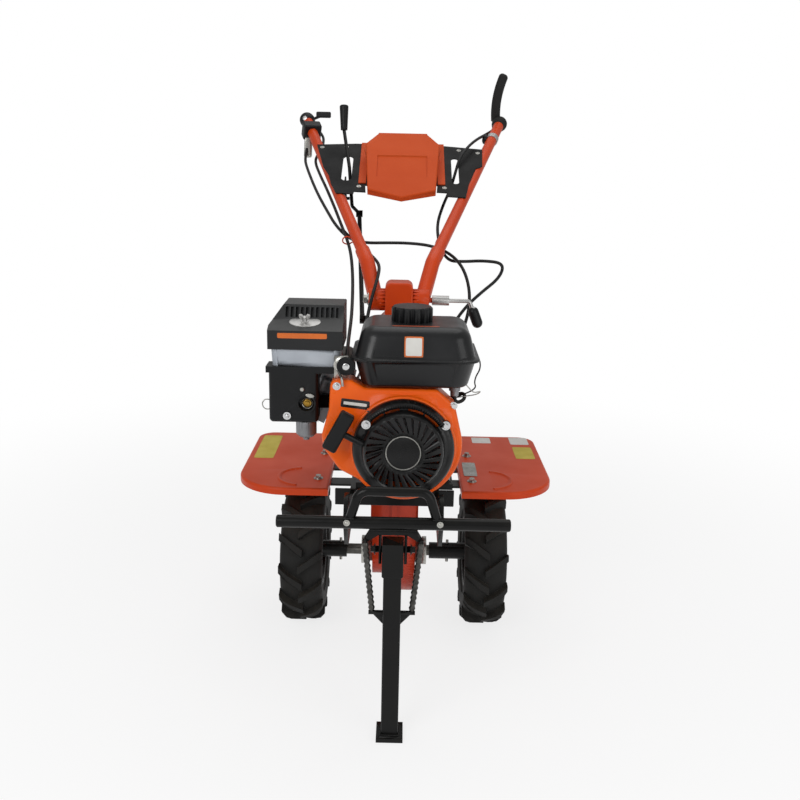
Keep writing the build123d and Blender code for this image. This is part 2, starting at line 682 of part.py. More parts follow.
def air_cleaner_cover():
    """Louvred cover: upright face, sloped apron, steep louvred brow and a chamfered left shoulder."""
    left, right = CLEANER_X
    front, rear = CLEANER_FRONT, CLEANER_FRONT + CLEANER_DEPTH
    apron_z = COVER_BOTTOM_Z + COVER_FACE
    brow_z = apron_z + COVER_APRON_RISE
    side = make_face(
        Polyline(
            (front, COVER_BOTTOM_Z), (front, apron_z), (front + COVER_APRON, brow_z),
            (front + COVER_APRON + COVER_BROW, CLEANER_TOP_Z), (rear, CLEANER_TOP_Z), (rear, COVER_BOTTOM_Z),
            close=True,
        )
    )
    body = extrude(Plane.YZ.offset(left) * side, right - left)
    across, down = COVER_SHOULDER
    corner = make_face(
        Polyline((left, CLEANER_TOP_Z), (left + across, CLEANER_TOP_Z), (left, CLEANER_TOP_Z - down), close=True)
    )
    body -= extrude(Plane.XZ * corner, 2 * BUMPER_REACH, both=True)
    body = fillet(body.faces().sort_by(Axis.Z)[-1].edges(), COVER_EDGE)
    rise = CLEANER_TOP_Z - brow_z
    brow = Plane(
        origin=((left + right) / 2 + 10, front + COVER_APRON + COVER_BROW / 2, (brow_z + CLEANER_TOP_Z) / 2),
        x_dir=(1, 0, 0),
        z_dir=(0, -rise, COVER_BROW),
    )
    for i in range(LOUVRES):
        body -= brow * Pos((i - (LOUVRES - 1) / 2) * LOUVRE_PITCH, 0, 0) * Box(LOUVRE_WIDTH, 0.72 * rise, 10)
    return body


def air_cleaner_cup():
    """Clear filter bowl under the cover, drawn in towards its foot."""
    left, right = CLEANER_X
    middle = ((left + right) / 2, CLEANER_FRONT + CLEANER_DEPTH / 2)
    levels = [
        Pos(*middle, z) * RectangleRounded(right - left - 2 * inset, CLEANER_DEPTH - 2 * inset, 12)
        for z, inset in ((CUP_BOTTOM_Z, CUP_INSET + 2), (COVER_BOTTOM_Z, CUP_INSET))
    ]
    return loft(Sketch() + levels)


def intake_box():
    """Carburettor housing under the filter with a lip, a round recess and a screw boss."""
    left = CLEANER_X[0] + 1
    right = left + INTAKE_WIDTH
    front, rear = CLEANER_FRONT, CLEANER_FRONT + INTAKE_DEPTH
    body = block((left, right), (front, rear), (INTAKE_BOTTOM_Z, CUP_BOTTOM_Z))
    body = fillet(body.edges().filter_by(Axis.Z) + body.faces().sort_by(Axis.Z)[0].edges(), 8)
    body += block((left - 5, right + INTAKE_LIP_REACH), (front, rear), (CUP_BOTTOM_Z - INTAKE_LIP, CUP_BOTTOM_Z))
    across, up = SCREW_BOSS_PLACE
    screw = left + across, INTAKE_BOTTOM_Z + up
    body += rod((screw[0], front + 8, screw[1]), (screw[0], front - 4, screw[1]), SCREW_BOSS_R)
    across, up = RECESS_PLACE
    face = (right + across, front, INTAKE_BOTTOM_Z + up)
    body += rod(face, (face[0], front - 5, face[2]), RECESS_R + 3)
    body -= rod((face[0], front - 6, face[2]), (face[0], front + 8, face[2]), RECESS_R)
    port_x, port_z = head_port()
    throat_y = (rear - 10, -ENGINE_MIDDLE - HEAD_DEPTH / 2)
    return body + block((right - 12, port_x + 7), throat_y, (port_z - 13, port_z + 13))


def carburettor():
    """Float bowl below the housing with its drain boss."""
    x = CLEANER_X[0] + INTAKE_WIDTH - 24
    y = CLEANER_FRONT + INTAKE_DEPTH / 2
    low = (Align.CENTER, Align.CENTER, Align.MIN)
    bowl = Pos(x, y, INTAKE_BOTTOM_Z - BOWL_HEIGHT) * Cylinder(BOWL_R, BOWL_HEIGHT, align=low)
    bowl = chamfer(bowl.edges().sort_by(Axis.Z)[0], 6)
    return bowl + Pos(x, y, INTAKE_BOTTOM_Z - BOWL_HEIGHT - 7) * Cylinder(6, 8, align=low)


def muffler():
    """Exhaust box behind the cylinder head with a slotted guard face and a short port flange."""
    face = -ENGINE_MIDDLE + HEAD_DEPTH / 2
    port_x, port_z = head_port()
    wide, deep, high = MUFFLER_SIZE
    front = face + PORT_LENGTH
    middle = (port_x - 17, front + deep / 2, port_z + 16)
    body = Pos(*middle) * fillet(Box(wide, deep, high).edges(), MUFFLER_EDGE)
    columns, rows = GUARD_SLOTS
    for i in range(columns):
        for j in range(rows):
            x = (i - (columns - 1) / 2) * (GUARD_SLOT_SIZE[0] + 4)
            z = (j - (rows - 1) / 2) * 2.2 * GUARD_SLOT_SIZE[1]
            slot = Pos(middle[0] + x, front + deep, middle[2] + z) * Box(GUARD_SLOT_SIZE[0], 6, GUARD_SLOT_SIZE[1])
            body -= slot
    return body + rod((port_x, face, port_z), (port_x, front + 4, port_z), HEAD_THICK / 2)


def governor_control():
    """Throttle bracket on the shroud with its round cable lever and a link arm."""
    seat = CRANK_Z + 126
    rear = -SHROUD_FRONT + 34
    front = rear - GOVERNOR_PLATE
    plate = block(GOVERNOR_X, (front, rear), (seat, seat + GOVERNOR_RISE))
    x, z = CABLE_WHEEL_PLACE
    wheel = rod((x, front + 1, z), (x, front - GOVERNOR_PLATE, z), CABLE_WHEEL_R)
    wheel -= rod((x, front + 1, z), (x, front - 2 * GOVERNOR_PLATE, z), CABLE_WHEEL_R / 3)
    bends = [(x - 6, front - 2, z - 12), (x + 2, front - 24, z - 22), (x + 4, front - 24, z - 36)]
    arm = bent_bar(bends, 4, Circle(2.5))
    return plate + wheel + arm


def engine_bed():
    """Two side rails, the plate under the engine and the cross plate on the gearbox."""
    rear, front = -CASE_FRONT, -BUMPER_REACH + BUMPER_BAR_R
    side = make_face(
        Polyline(
            (rear, BED_Z - RAIL_HEIGHT), (rear, BED_Z - BED_PLATE), (front + 62, BED_Z - BED_PLATE),
            (front + 40, BUMPER_Z + 36), (front + 12, BUMPER_Z + 36), (front, BUMPER_Z + 12),
            (front, BUMPER_Z - 14), (front + 30, BED_Z - RAIL_HEIGHT), close=True,
        )
    )
    side -= Pos(front + 27, BUMPER_Z + 15) * Circle(7)
    bed = block((-BED_HALF, BED_HALF), (-ENGINE_FRONT + 1, rear), (BED_Z - BED_PLATE, BED_Z))
    bed += block((-BED_HALF, BED_HALF), (rear - RAIL_THICK, rear), (BED_Z - RAIL_HEIGHT, BED_Z - BED_PLATE))
    for x in (-BED_HALF, RAIL_X):
        bed += extrude(Plane.YZ.offset(x) * side, RAIL_THICK)
    return bed - gearbox_seam()


def bumper_bar():
    """Cross bar at the front of the rails."""
    bar = rod((-BUMPER_HALF, -BUMPER_REACH, BUMPER_Z), (BUMPER_HALF, -BUMPER_REACH, BUMPER_Z), BUMPER_BAR_R)
    return chamfer(bar.edges(), 2)


def bumper_hoop():
    """Bent guard rod standing on the cross bar."""
    points = [
        (-HOOP_HALF, -BUMPER_REACH, BUMPER_Z), (-HOOP_TOP_HALF, -BUMPER_REACH, HOOP_TOP_Z - HOOP_R),
        (HOOP_TOP_HALF, -BUMPER_REACH, HOOP_TOP_Z - HOOP_R), (HOOP_HALF, -BUMPER_REACH, BUMPER_Z),
    ]
    return bent_bar(points, 22, Circle(HOOP_R)) - bumper_bar()


def leg_line(height):
    """Y of the stand leg's middle at a height above the ground."""
    return STAND_FOOT_Y + (STAND_PIVOT_Y - STAND_FOOT_Y) * height / STAND_PIVOT_Z


def stand_bracket():
    """Arch plate under the bar with two cheeks, the pivot pin and two spring hooks."""
    bottom = BUMPER_Z - BUMPER_BAR_R
    inner = SLEEVE_SIZE / 2 + CHEEK_GAP
    outer = inner + CHEEK_THICK
    crown = bottom - ARCH_DROP / 2
    foot = bottom - ARCH_DROP
    right_half = [(ARCH_HALF - 14, bottom), (ARCH_HALF, foot), (ARCH_HALF - 10, foot), (outer, crown)]
    left_half = [(-x, z) for x, z in reversed(right_half)]
    arch = make_face(Polyline(*right_half, *left_half, close=True))
    bracket = extrude(Plane.XZ.offset(BUMPER_REACH) * arch, -ARCH_PLATE)
    rear = STAND_PIVOT_Y + SLEEVE_SIZE / 2 + CHEEK_GAP + CHEEK_THICK
    for side in SIDES.values():
        cheek_x = sorted((side * inner, side * outer))
        bracket += block(cheek_x, (STAND_PIVOT_Y - 14, rear), (STAND_PIVOT_Z - 22, crown))
        hook = (side * (ARCH_HALF - HOOK_R - 2), -BUMPER_REACH, foot + HOOK_R + 2)
        bracket += rod(hook, (hook[0], hook[1] - 2 * SPRING_R + 1, hook[2]), HOOK_R)
    reach = outer + 6
    pin = rod((-reach, STAND_PIVOT_Y, STAND_PIVOT_Z), (reach, STAND_PIVOT_Y, STAND_PIVOT_Z), PIVOT_PIN_R)
    return bracket + pin


def stand_leg():
    """Folding front leg: square tube, reinforced head, foot plate and gusseted spring ears."""
    lean = degrees(atan2(STAND_PIVOT_Y - STAND_FOOT_Y, STAND_PIVOT_Z))
    frame = Pos(0, STAND_PIVOT_Y, STAND_PIVOT_Z) * Rot(X=-lean)
    length = STAND_PIVOT_Z - FOOT_PLATE
    head = SLEEVE_SIZE / 2 - 3
    leg = Pos(0, 0, head - (length + head) / 2) * Box(LEG_SIZE, LEG_SIZE, length + head)
    leg = chamfer(leg.edges().filter_by(Axis.Z), 2)
    sleeve = Pos(0, 0, head - SLEEVE_LENGTH / 2) * Box(SLEEVE_SIZE, SLEEVE_SIZE, SLEEVE_LENGTH)
    leg += chamfer(sleeve.edges().filter_by(Axis.Z), 2)
    ear = rod((-EAR_X - SPRING_R, 0, -EAR_DROP), (EAR_X + SPRING_R, 0, -EAR_DROP), EAR_R)
    root = LEG_SIZE / 2
    gusset = make_face(Polyline((root, 0), (EAR_X, 0), (root, -GUSSET_DROP), close=True))
    gusset += mirror(gusset, about=Plane.YZ)
    leg += ear + extrude(Plane.XZ * Pos(0, -EAR_DROP) * gusset, GUSSET_THICK / 2, both=True)
    foot_y = (STAND_FOOT_Y - FOOT_DEPTH / 2, STAND_FOOT_Y + FOOT_DEPTH / 2)
    foot = block((-FOOT_WIDTH / 2, FOOT_WIDTH / 2), foot_y, (0, FOOT_PLATE))
    pivot = [(x, STAND_PIVOT_Y, STAND_PIVOT_Z) for x in (-ARCH_HALF, ARCH_HALF)]
    return frame * leg + foot - rod(*pivot, PIVOT_PIN_R + RUN_GAP)


def stand_springs():
    """Two close-coiled springs from the arch hooks to the ears of the leg."""
    springs = []
    top_z = BUMPER_Z - BUMPER_BAR_R - ARCH_DROP + 2 - SPRING_SEAT
    bottom_z = STAND_PIVOT_Z - EAR_DROP + EAR_R + SPRING_SEAT
    for side in SIDES.values():
        top = Vector(side * (ARCH_HALF - HOOK_R - 2), -BUMPER_REACH - SPRING_R + 1, top_z)
        bottom = Vector(side * EAR_X, leg_line(STAND_PIVOT_Z - EAR_DROP), bottom_z)
        length = (bottom - top).length
        pitch = length / SPRING_TURNS
        teeth = [(SPRING_R - (0 if i % 2 else 1.6), i * pitch / 2) for i in range(2 * SPRING_TURNS + 1)]
        half = make_face(Polyline((0, 0), *teeth, (0, length), close=True))
        coil = Rot(X=90) * revolve(half, Axis.Y)
        springs.append(Plane(origin=top, z_dir=bottom - top) * coil)
    return Compound(children=springs)


def fender(side):
    """Pressed guard over a wheel: flat top, turned-down edge, round outer corners and an embossed arc."""
    low, reach = FENDER_Z - FENDER_LIP, FENDER_OUTER - FENDER_INNER
    plan = Pos((FENDER_INNER + FENDER_OUTER) / 2, (FENDER_REAR - FENDER_FRONT) / 2)
    plan *= Rectangle(reach, FENDER_FRONT + FENDER_REAR)
    plan = fillet(plan.vertices().sort_by(lambda v: v.Y - v.X)[0], FENDER_CORNER_R)
    plan = fillet(plan.vertices().sort_by(lambda v: -v.X - v.Y)[0], FENDER_REAR_R)
    sheet = extrude(Pos(0, 0, low) * plan, FENDER_LIP)
    sheet = fillet(sheet.faces().sort_by(Axis.Z)[-1].edges(), FENDER_EDGE)
    sheet -= extrude(Pos(0, 0, low) * offset(plan, -FENDER_SHEET), FENDER_LIP - FENDER_SHEET)
    arc = SlotArc(CenterArc(EMBOSS_CENTRE, EMBOSS_R, -75, 150), EMBOSS_WIDTH)
    sheet += extrude(Pos(0, 0, FENDER_Z) * arc, EMBOSS_RISE, taper=30)
    return sheet if side > 0 else mirror(sheet, about=Plane.YZ)


def fender_stays():
    """Flat bars that carry the guards from the gear case, each with a raised end tab."""
    top = FENDER_Z - FENDER_SHEET
    seat = top - FENDER_LIP
    bars = []
    for side in SIDES.values():
        for middle in (-STAY_Y, STAY_Y):
            width = (middle - STAY_WIDTH / 2, middle + STAY_WIDTH / 2)
            near, root, far = side * CASE_HALF, side * (FENDER_INNER + 10), side * (FENDER_INNER + 50)
            bar = block(sorted((near, far)), width, (seat - STAY_THICK, seat))
            bars.append(bar + block(sorted((root, far)), width, (seat, top)))
    return Compound(children=bars)


def handlebar_seat():
    """Column on the gear case, flared below the hinge, with a rounded head and the hinge bolt."""
    front, rear = COLUMN_Y - COLUMN_DEPTH / 2, COLUMN_Y + COLUMN_DEPTH / 2
    wide = COLUMN_HALF + COLUMN_FLARE
    neck = PIVOT_Z - KNUCKLE_R - 5
    face = make_face(
        Polyline(
            (-wide, CASE_TOP_Z), (-wide, neck - COLUMN_FLARE), (-COLUMN_HALF, neck), (-COLUMN_HALF, COLUMN_TOP_Z),
            (COLUMN_HALF, COLUMN_TOP_Z), (COLUMN_HALF, neck), (wide, neck - COLUMN_FLARE), (wide, CASE_TOP_Z),
            close=True,
        )
    )
    body = extrude(Plane.XZ.offset(-rear) * face, COLUMN_DEPTH)
    body = fillet(body.faces().sort_by(Axis.Z)[-1].edges().filter_by(Axis.Y), COLUMN_EDGE) - gearbox_seam()
    body = fillet(body.edges().filter_by(Axis.Z).filter_by(lambda e: e.center().Y < COLUMN_Y), 4)
    reach = TUBE_BASE_X + 22
    return body + rod((-reach, COLUMN_Y, PIVOT_Z), (reach, COLUMN_Y, PIVOT_Z), PIVOT_PIN_R)


def rear_hitch():
    """Drawbar clevis behind the gear case with a vertical pin hole."""
    root, tip = CASE_REAR - 20, CASE_REAR + HITCH_REACH
    across = (-HITCH_HALF, HITCH_HALF)
    hitch = block(across, (root, CASE_REAR + HITCH_PLATE), (HITCH_Z - 10, HITCH_Z + HITCH_GAP + 10))
    for level in (HITCH_Z, HITCH_Z + HITCH_GAP):
        plate = block(across, (root, tip), (level - HITCH_PLATE / 2, level + HITCH_PLATE / 2))
        hitch += fillet(plate.edges().filter_by(Axis.Z).sort_by(Axis.Y)[-2:], HITCH_HALF - 6)
    pin = Pos(0, tip - HITCH_PIN_BACK, HITCH_Z + HITCH_GAP / 2) * Cylinder(HITCH_PIN_R, 2 * HITCH_GAP)
    return hitch - pin - gearbox_case()


def handle_points(side):
    """Corners of a handle tube from its knuckle to the end of the grip."""
    return [
        (side * TUBE_BASE_X, COLUMN_Y, PIVOT_Z),
        (side * ELBOW_X, COLUMN_Y + ELBOW_RUN, PIVOT_Z + ELBOW_RISE),
        (side * HANDLE_SPREAD, COLUMN_Y + HANDLE_RUN, PIVOT_Z + HANDLE_RISE),
        (side * (HANDLE_SPREAD + GRIP_SPLAY), COLUMN_Y + HANDLE_RUN + GRIP_LENGTH - GRIP_CAP, PIVOT_Z + HANDLE_RISE),
    ]


def handle_tube(side):
    """Bent tube with a thicker socket and a serrated knuckle on the hinge bolt."""
    points = handle_points(side)
    tube = bent_bar(points, TUBE_BEND, Circle(TUBE_R) - Circle(TUBE_R - TUBE_WALL))
    elbow, top = Vector(*points[1]), Vector(*points[2])
    socket_end = elbow + (top - elbow).normalized() * SOCKET_LENGTH
    sleeve = Circle(SOCKET_R) - Circle(TUBE_R - TUBE_WALL)
    tube += bent_bar([points[0], points[1], socket_end], TUBE_BEND, sleeve)
    inner, outer = COLUMN_HALF + RUN_GAP, TUBE_BASE_X + 15
    eye = rod((side * inner, COLUMN_Y, PIVOT_Z), (side * outer, COLUMN_Y, PIVOT_Z), KNUCKLE_R)
    groove = Pos(side * (inner + KNUCKLE_WIDTH / 2), 0, KNUCKLE_R + 1) * Box(KNUCKLE_WIDTH, 3, 5)
    for i in range(SERRATIONS):
        eye -= Pos(0, COLUMN_Y, PIVOT_Z) * Rot(X=i * 360 / SERRATIONS) * groove
    bore = rod((0, COLUMN_Y, PIVOT_Z), (side * 2 * outer, COLUMN_Y, PIVOT_Z), PIVOT_PIN_R + RUN_GAP)
    return tube + eye - bore


def grip(side):
    """Ringed rubber grip with a collar and a closed end, on the level end of a handle tube."""
    start, end = (Vector(*p) for p in handle_points(side)[2:])
    along = (end - start).normalized()
    first = start + along * GRIP_START
    length = (end - first).length + GRIP_CAP
    pitch = (length - 24) / GRIP_RINGS
    outline = [(0, 0), (GRIP_R + 3, 0), (GRIP_R + 3, 4), (GRIP_R, 6)]
    for i in range(GRIP_RINGS):
        z = 12 + i * pitch
        outline += [(GRIP_R, z), (GRIP_R - GRIP_GROOVE, z + 1), (GRIP_R - GRIP_GROOVE, z + 3), (GRIP_R, z + 4)]
    outline += [(GRIP_R, length - 5), (GRIP_R - 5, length), (0, length)]
    rubber = revolve(Plane.XZ * make_face(Polyline(*outline, close=True)), Axis.Z)
    return Plane(origin=first, z_dir=along) * rubber - rod(first, end, TUBE_R)


def slope_plane():
    """Plane through both handle tubes: local X across, local Y up the slope from the elbows."""
    rise, run = HANDLE_RISE - ELBOW_RISE, HANDLE_RUN - ELBOW_RUN
    length = hypot(rise, run)
    return Plane(
        origin=(0, COLUMN_Y + ELBOW_RUN, PIVOT_Z + ELBOW_RISE),
        x_dir=(1, 0, 0),
        z_dir=(0, -rise / length, run / length),
    )


def tube_x(distance):
    """Half spread of the tubes at a distance up the slope."""
    length = hypot(HANDLE_RISE - ELBOW_RISE, HANDLE_RUN - ELBOW_RUN)
    return ELBOW_X + (HANDLE_SPREAD - ELBOW_X) * distance / length


def control_panel():
    """Notched plate lying on both tubes, with a gate slot, a cable slot and the shift rod's pivot tab."""
    plate = make_face(Polyline(*PANEL_LEFT, *PANEL_RIGHT, close=True))
    for x, distance, width, length in (GATE_SLOT, CABLE_SLOT):
        plate -= Pos(x, distance) * SlotOverall(length, width, rotation=90)
    panel = slope_plane().offset(TUBE_R) * extrude(plate, PANEL_THICK)
    pivot = slope_plane().to_local_coords(Vector(*SHIFT_PIVOT))
    tab_x = pivot.X - SHIFT_ROD_R - SHIFT_PIN
    tab_low = pivot.Z - SHIFT_PIN
    tab = Pos(tab_x, pivot.Y, (TUBE_R + tab_low) / 2) * Box(4, 26, TUBE_R - tab_low)
    pin = rod((tab_x, pivot.Y, pivot.Z), (pivot.X - SHIFT_ROD_R - RUN_GAP, pivot.Y, pivot.Z), 4)
    return panel + slope_plane() * (tab + pin)


def dash_solid(wall):
    """Hood of the dash on the slope: a pointed plan cut by a wedge-shaped side view, shrunk by a wall."""
    right_half = [
        (DASH_LOW_HALF, DASH_SIDE_LOW), (DASH_HIGH_HALF, DASH_SIDE_HIGH), (DASH_TOP_HALF, DASH_CREST),
        (DASH_TOP_HALF, DASH_BACK),
    ]
    left_half = [(-x, distance) for x, distance in reversed(right_half)]
    plan = make_face(Polyline((0, DASH_LOW), *right_half, *left_half, close=True))
    side = make_face(
        Polyline(
            (DASH_LOW, -wall), (DASH_LOW, DASH_LOW_RISE - wall), (DASH_CREST, DASH_CREST_RISE - wall),
            (DASH_BACK, DASH_LOW_RISE - wall), (DASH_BACK, -wall), close=True,
        )
    )
    plan = offset(plan, -wall) if wall else plan
    return extrude(plan, DASH_CREST_RISE) & extrude(Plane.YZ * side, DASH_HIGH_HALF, both=True)


def dash_cover():
    """Hooded dash shell with a recessed face and two flat side strips."""
    shell = dash_solid(0)
    upper = shell.faces().filter_by(lambda f: f.normal_at().Z > 0.4).sort_by(Axis.Y)
    shell = fillet(upper[0].edges(), DASH_EDGE)
    low, high, half, deep = DASH_RECESS
    slope = (DASH_CREST_RISE - DASH_LOW_RISE) / (DASH_CREST - DASH_LOW)
    recess = make_face(
        Polyline(
            (low, DASH_LOW_RISE + slope * (low - DASH_LOW) - deep),
            (high, DASH_LOW_RISE + slope * (high - DASH_LOW) - deep),
            (high + 14, 2 * DASH_CREST_RISE), (low - 14, 2 * DASH_CREST_RISE), close=True,
        )
    )
    shell -= extrude(Plane.YZ * recess, half, both=True)
    shell -= Pos(0, 0, -deep) * dash_solid(DASH_WALL)
    near, far, start, end = DASH_STRIP
    for side in SIDES.values():
        x_span = sorted((side * near, side * far))
        shell += block(x_span, (start, end), (0, DASH_WALL)) - dash_solid(DASH_WALL)
    return slope_plane().offset(TUBE_R + PANEL_THICK) * shell


def level_end(side):
    """Start of the level end of a handle tube and its direction."""
    start, end = (Vector(*p) for p in handle_points(side)[2:])
    return start, (end - start).normalized()


def tube_clamp(side, radius):
    """Ring on the level end of a handle tube, next to the grip, and its middle."""
    start, along = level_end(side)
    first, last = start + along * CLAMP_START, start + along * (CLAMP_START + CLAMP_LENGTH)
    return rod(first, last, radius) - rod(first, last, CLAMP_BORE), (first + last) / 2


def elbow_shell(side):
    """Ball-shaped cover over the upper bend of a handle tube."""
    points = handle_points(side)
    return Pos(*points[2]) * Sphere(HOUSING_R) - bent_bar(points, TUBE_BEND, Circle(CLAMP_BORE))


def slope_clamp():
    """Moulded block on the sloped run of the left tube, and its middle."""
    low, high = (Vector(*p) for p in handle_points(-1)[1:3])
    along = (high - low).normalized()
    middle = high - along * CLAMP_BACK
    moulding = Plane(origin=middle, x_dir=(along.Y, -along.X, 0), z_dir=along) * fillet(Box(*CLAMP_SIZE).edges(), 5)
    return moulding - rod(low, high, CLAMP_BORE), middle


def throttle_control():
    """Thumb throttle on the left tube: round housing, stem and paddle."""
    housing, hub = tube_clamp(-1, HOUSING_R)
    paddle_middle = hub + Vector(*PADDLE_PLACE)
    stem = rod(hub + Vector(HOUSING_R - 4, 0, 4), paddle_middle, 4)
    paddle = Pos(*paddle_middle) * fillet(Box(*PADDLE_SIZE).edges(), 4)
    return housing + elbow_shell(-1) + stem + paddle


def clutch_lever():
    """Dead-man clutch lever: a bowed, thickly coated bar standing on its clamp."""
    ring, _ = tube_clamp(1, HOUSING_R)
    start, along = level_end(1)
    path = Spline(*(start + Vector(*point) for point in LEVER_CURVE))
    bar = sweep(Plane(origin=path @ 0, z_dir=path % 0) * Circle(LEVER_R), path=path)
    bar = fillet(bar.faces().sort_by(Axis.Z)[-1].edges(), LEVER_R - 3)
    return ring + elbow_shell(1) + (bar - rod(start, start + along * GRIP_LENGTH, CLAMP_BORE))


def reverse_lever():
    """Block on the slope of the left tube with its flat hanging lever."""
    moulding, middle = slope_clamp()
    low, high = (Vector(*p) for p in handle_points(-1)[1:3])
    trigger = Rot(X=-TRIGGER_LEAN) * fillet(Box(*TRIGGER_SIZE).edges(), 5)
    return moulding + (Pos(*(middle + Vector(*TRIGGER_OFFSET))) * trigger - rod(low, high, CLAMP_BORE))


def shift_lever():
    """Shift rod from its tapered knob through the gate slot down to the link's free lower eye."""
    knob_low, knob_high = Vector(*SHIFT_ROUTE[0]), Vector(*SHIFT_KNOB_TOP)
    bar = bent_bar(SHIFT_ROUTE[:-1], SHIFT_BEND, Circle(SHIFT_ROD_R))
    link = rod(SHIFT_ROUTE[-2], SHIFT_ROUTE[-1], SHIFT_LINK_R)
    joint = Pos(*SHIFT_ROUTE[-2]) * Box(*(3 * SHIFT_LINK_R,) * 3)
    eye = Pos(*SHIFT_ROUTE[-1]) * Rot(Y=90) * Cylinder(2.2 * SHIFT_LINK_R, 2 * SHIFT_LINK_R)
    height = (knob_high - knob_low).length
    knob = Cone(SHIFT_KNOB_NECK_R, SHIFT_KNOB_R, height, align=(Align.CENTER, Align.CENTER, Align.MIN))
    knob = Plane(origin=knob_low, z_dir=knob_high - knob_low) * fillet(knob.edges().sort_by(Axis.Z)[-1], 5)
    return bar + link + joint + eye + knob


def handle_scaled(point):
    """A point of a route, carried along where it lies behind the hinge and the handles have another reach."""
    if point.Y < COLUMN_Y:
        return point
    back, up = point.Y - COLUMN_Y, point.Z - PIVOT_Z
    return Vector(point.X, COLUMN_Y + back * HANDLE_RUN / ROUTE_RUN, PIVOT_Z + up * HANDLE_RISE / ROUTE_RISE)


def cable(route, radius):
    """Control cable along its route, each corner rounded as far as its two runs allow."""
    corners = [handle_scaled(Vector(*point)) for point in route]
    bends = []
    for before, here, after in zip(corners, corners[1:], corners[2:]):
        turn = radians((here - before).get_angle(after - here))
        shorter = min((here - before).length, (after - here).length)
        bends.append(0.45 * shorter / tan(turn / 2))
    return bent_bar(corners, bends, Circle(radius))


def lock_handle():
    """Clamp handle on the end of the hinge bolt: sleeve, bent rod and a rounded knob."""
    reach = TUBE_BASE_X + 22
    end = reach + LOCK_SLEEVE
    sleeve = rod((reach, COLUMN_Y, PIVOT_Z), (end, COLUMN_Y, PIVOT_Z), LOCK_SLEEVE_R)
    bend = (end + 46, COLUMN_Y, PIVOT_Z)
    drop = Vector(0.37, 0, -0.93)
    tip = Vector(*bend) + drop * 30
    arm = bent_bar([(end - 2, COLUMN_Y, PIVOT_Z), bend, tip], 8, Circle(LOCK_ROD_R))
    top, low = (Vector(*bend) + drop * along for along in (26, 52))
    knob = rod(top, low, LOCK_KNOB_R) + Pos(*top) * Sphere(LOCK_KNOB_R) + Pos(*low) * Sphere(LOCK_KNOB_R)
    return sleeve + arm + knob


NODES = {
    "hex_axle": hex_axle(),
    "gearbox_case": gearbox_case(),
    "axle_caps": axle_caps(),
    "crankcase": crankcase(),
    "cylinder": cylinder(),
    "fan_shroud": fan_shroud(),
    "recoil_cover": recoil_cover(),
    "starter_grip": starter_grip(),
    "fuel_tank": fuel_tank(),
    "fuel_cap": fuel_cap(),
    "air_cleaner_cover": air_cleaner_cover(),
    "air_cleaner_cup": air_cleaner_cup(),
    "intake_box": intake_box(),
    "carburettor": carburettor(),
    "muffler": muffler(),
    "governor_control": governor_control(),
    "engine_bed": engine_bed(),
    "bumper_bar": bumper_bar(),
    "bumper_hoop": bumper_hoop(),
    "stand_bracket": stand_bracket(),
    "stand_leg": stand_leg(),
    "stand_springs": stand_springs(),
    "fender_stays": fender_stays(),
    "handlebar_seat": handlebar_seat(),
    "rear_hitch": rear_hitch(),
    "control_panel": control_panel(),
    "dash_cover": dash_cover(),
    "throttle_control": throttle_control(),
    "clutch_lever": clutch_lever(),
    "reverse_lever": reverse_lever(),
    "shift_lever": shift_lever(),
    "lock_handle": lock_handle(),
    "throttle_cable": cable(THROTTLE_ROUTE, CABLE_R) - throttle_control(),
    "reverse_cable": cable(REVERSE_ROUTE, CABLE_R) - reverse_lever(),
    "clutch_cable": cable(CLUTCH_ROUTE, CABLE_R) - clutch_lever(),
    "stop_wire": cable(STOP_WIRE_ROUTE, CABLE_R),
}
lug_tyre = tyre()
for name, side in SIDES.items():
    NODES[f"tyre_{name}"] = wheel_at(side) * lug_tyre
    NODES[f"rim_{name}"] = rim(side)
    NODES[f"fender_{name}"] = fender(side)
    NODES[f"handle_tube_{name}"] = handle_tube(side)
    NODES[f"grip_{name}"] = grip(side)

os.makedirs("parts", exist_ok=True)
for name, shape in NODES.items():
    export_step(Pos(0, AXLE_Y, 0) * shape, f"parts/{name}.step")
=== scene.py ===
"""Looks of a walk-behind power tiller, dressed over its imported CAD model."""

import json
import logging
from dataclasses import dataclass
from enum import Enum
from functools import lru_cache
from math import cos, pi, radians, sin, tan

import bmesh
import bpy
from bmesh.types import BMesh
from bpy.types import Material, Node, NodeSocket, NodeTree, Object
from mathutils import Euler, Matrix, Vector
from mathutils.bvhtree import BVHTree


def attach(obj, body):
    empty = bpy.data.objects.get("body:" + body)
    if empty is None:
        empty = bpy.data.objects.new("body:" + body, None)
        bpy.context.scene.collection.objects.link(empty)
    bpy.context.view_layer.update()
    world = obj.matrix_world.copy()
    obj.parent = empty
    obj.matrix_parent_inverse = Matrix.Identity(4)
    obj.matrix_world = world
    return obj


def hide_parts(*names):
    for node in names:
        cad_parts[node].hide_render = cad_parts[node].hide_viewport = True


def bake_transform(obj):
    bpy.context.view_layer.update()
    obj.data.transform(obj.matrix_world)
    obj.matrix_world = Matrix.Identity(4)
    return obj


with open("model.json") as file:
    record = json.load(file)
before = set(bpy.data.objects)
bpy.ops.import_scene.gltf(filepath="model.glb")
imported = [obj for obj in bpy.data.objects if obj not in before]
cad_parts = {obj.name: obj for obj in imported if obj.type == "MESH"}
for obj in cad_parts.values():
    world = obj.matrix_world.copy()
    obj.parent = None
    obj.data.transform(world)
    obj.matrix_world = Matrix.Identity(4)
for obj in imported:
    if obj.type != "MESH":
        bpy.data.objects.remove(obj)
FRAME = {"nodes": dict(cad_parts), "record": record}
LOG = logging.getLogger("tiller")
MM = 0.001
# Vertices closer than these become one, on new pieces and on CAD copies, in metres
MERGE_GAP = 0.01 * MM
CAD_MERGE_GAP = 0.004 * MM
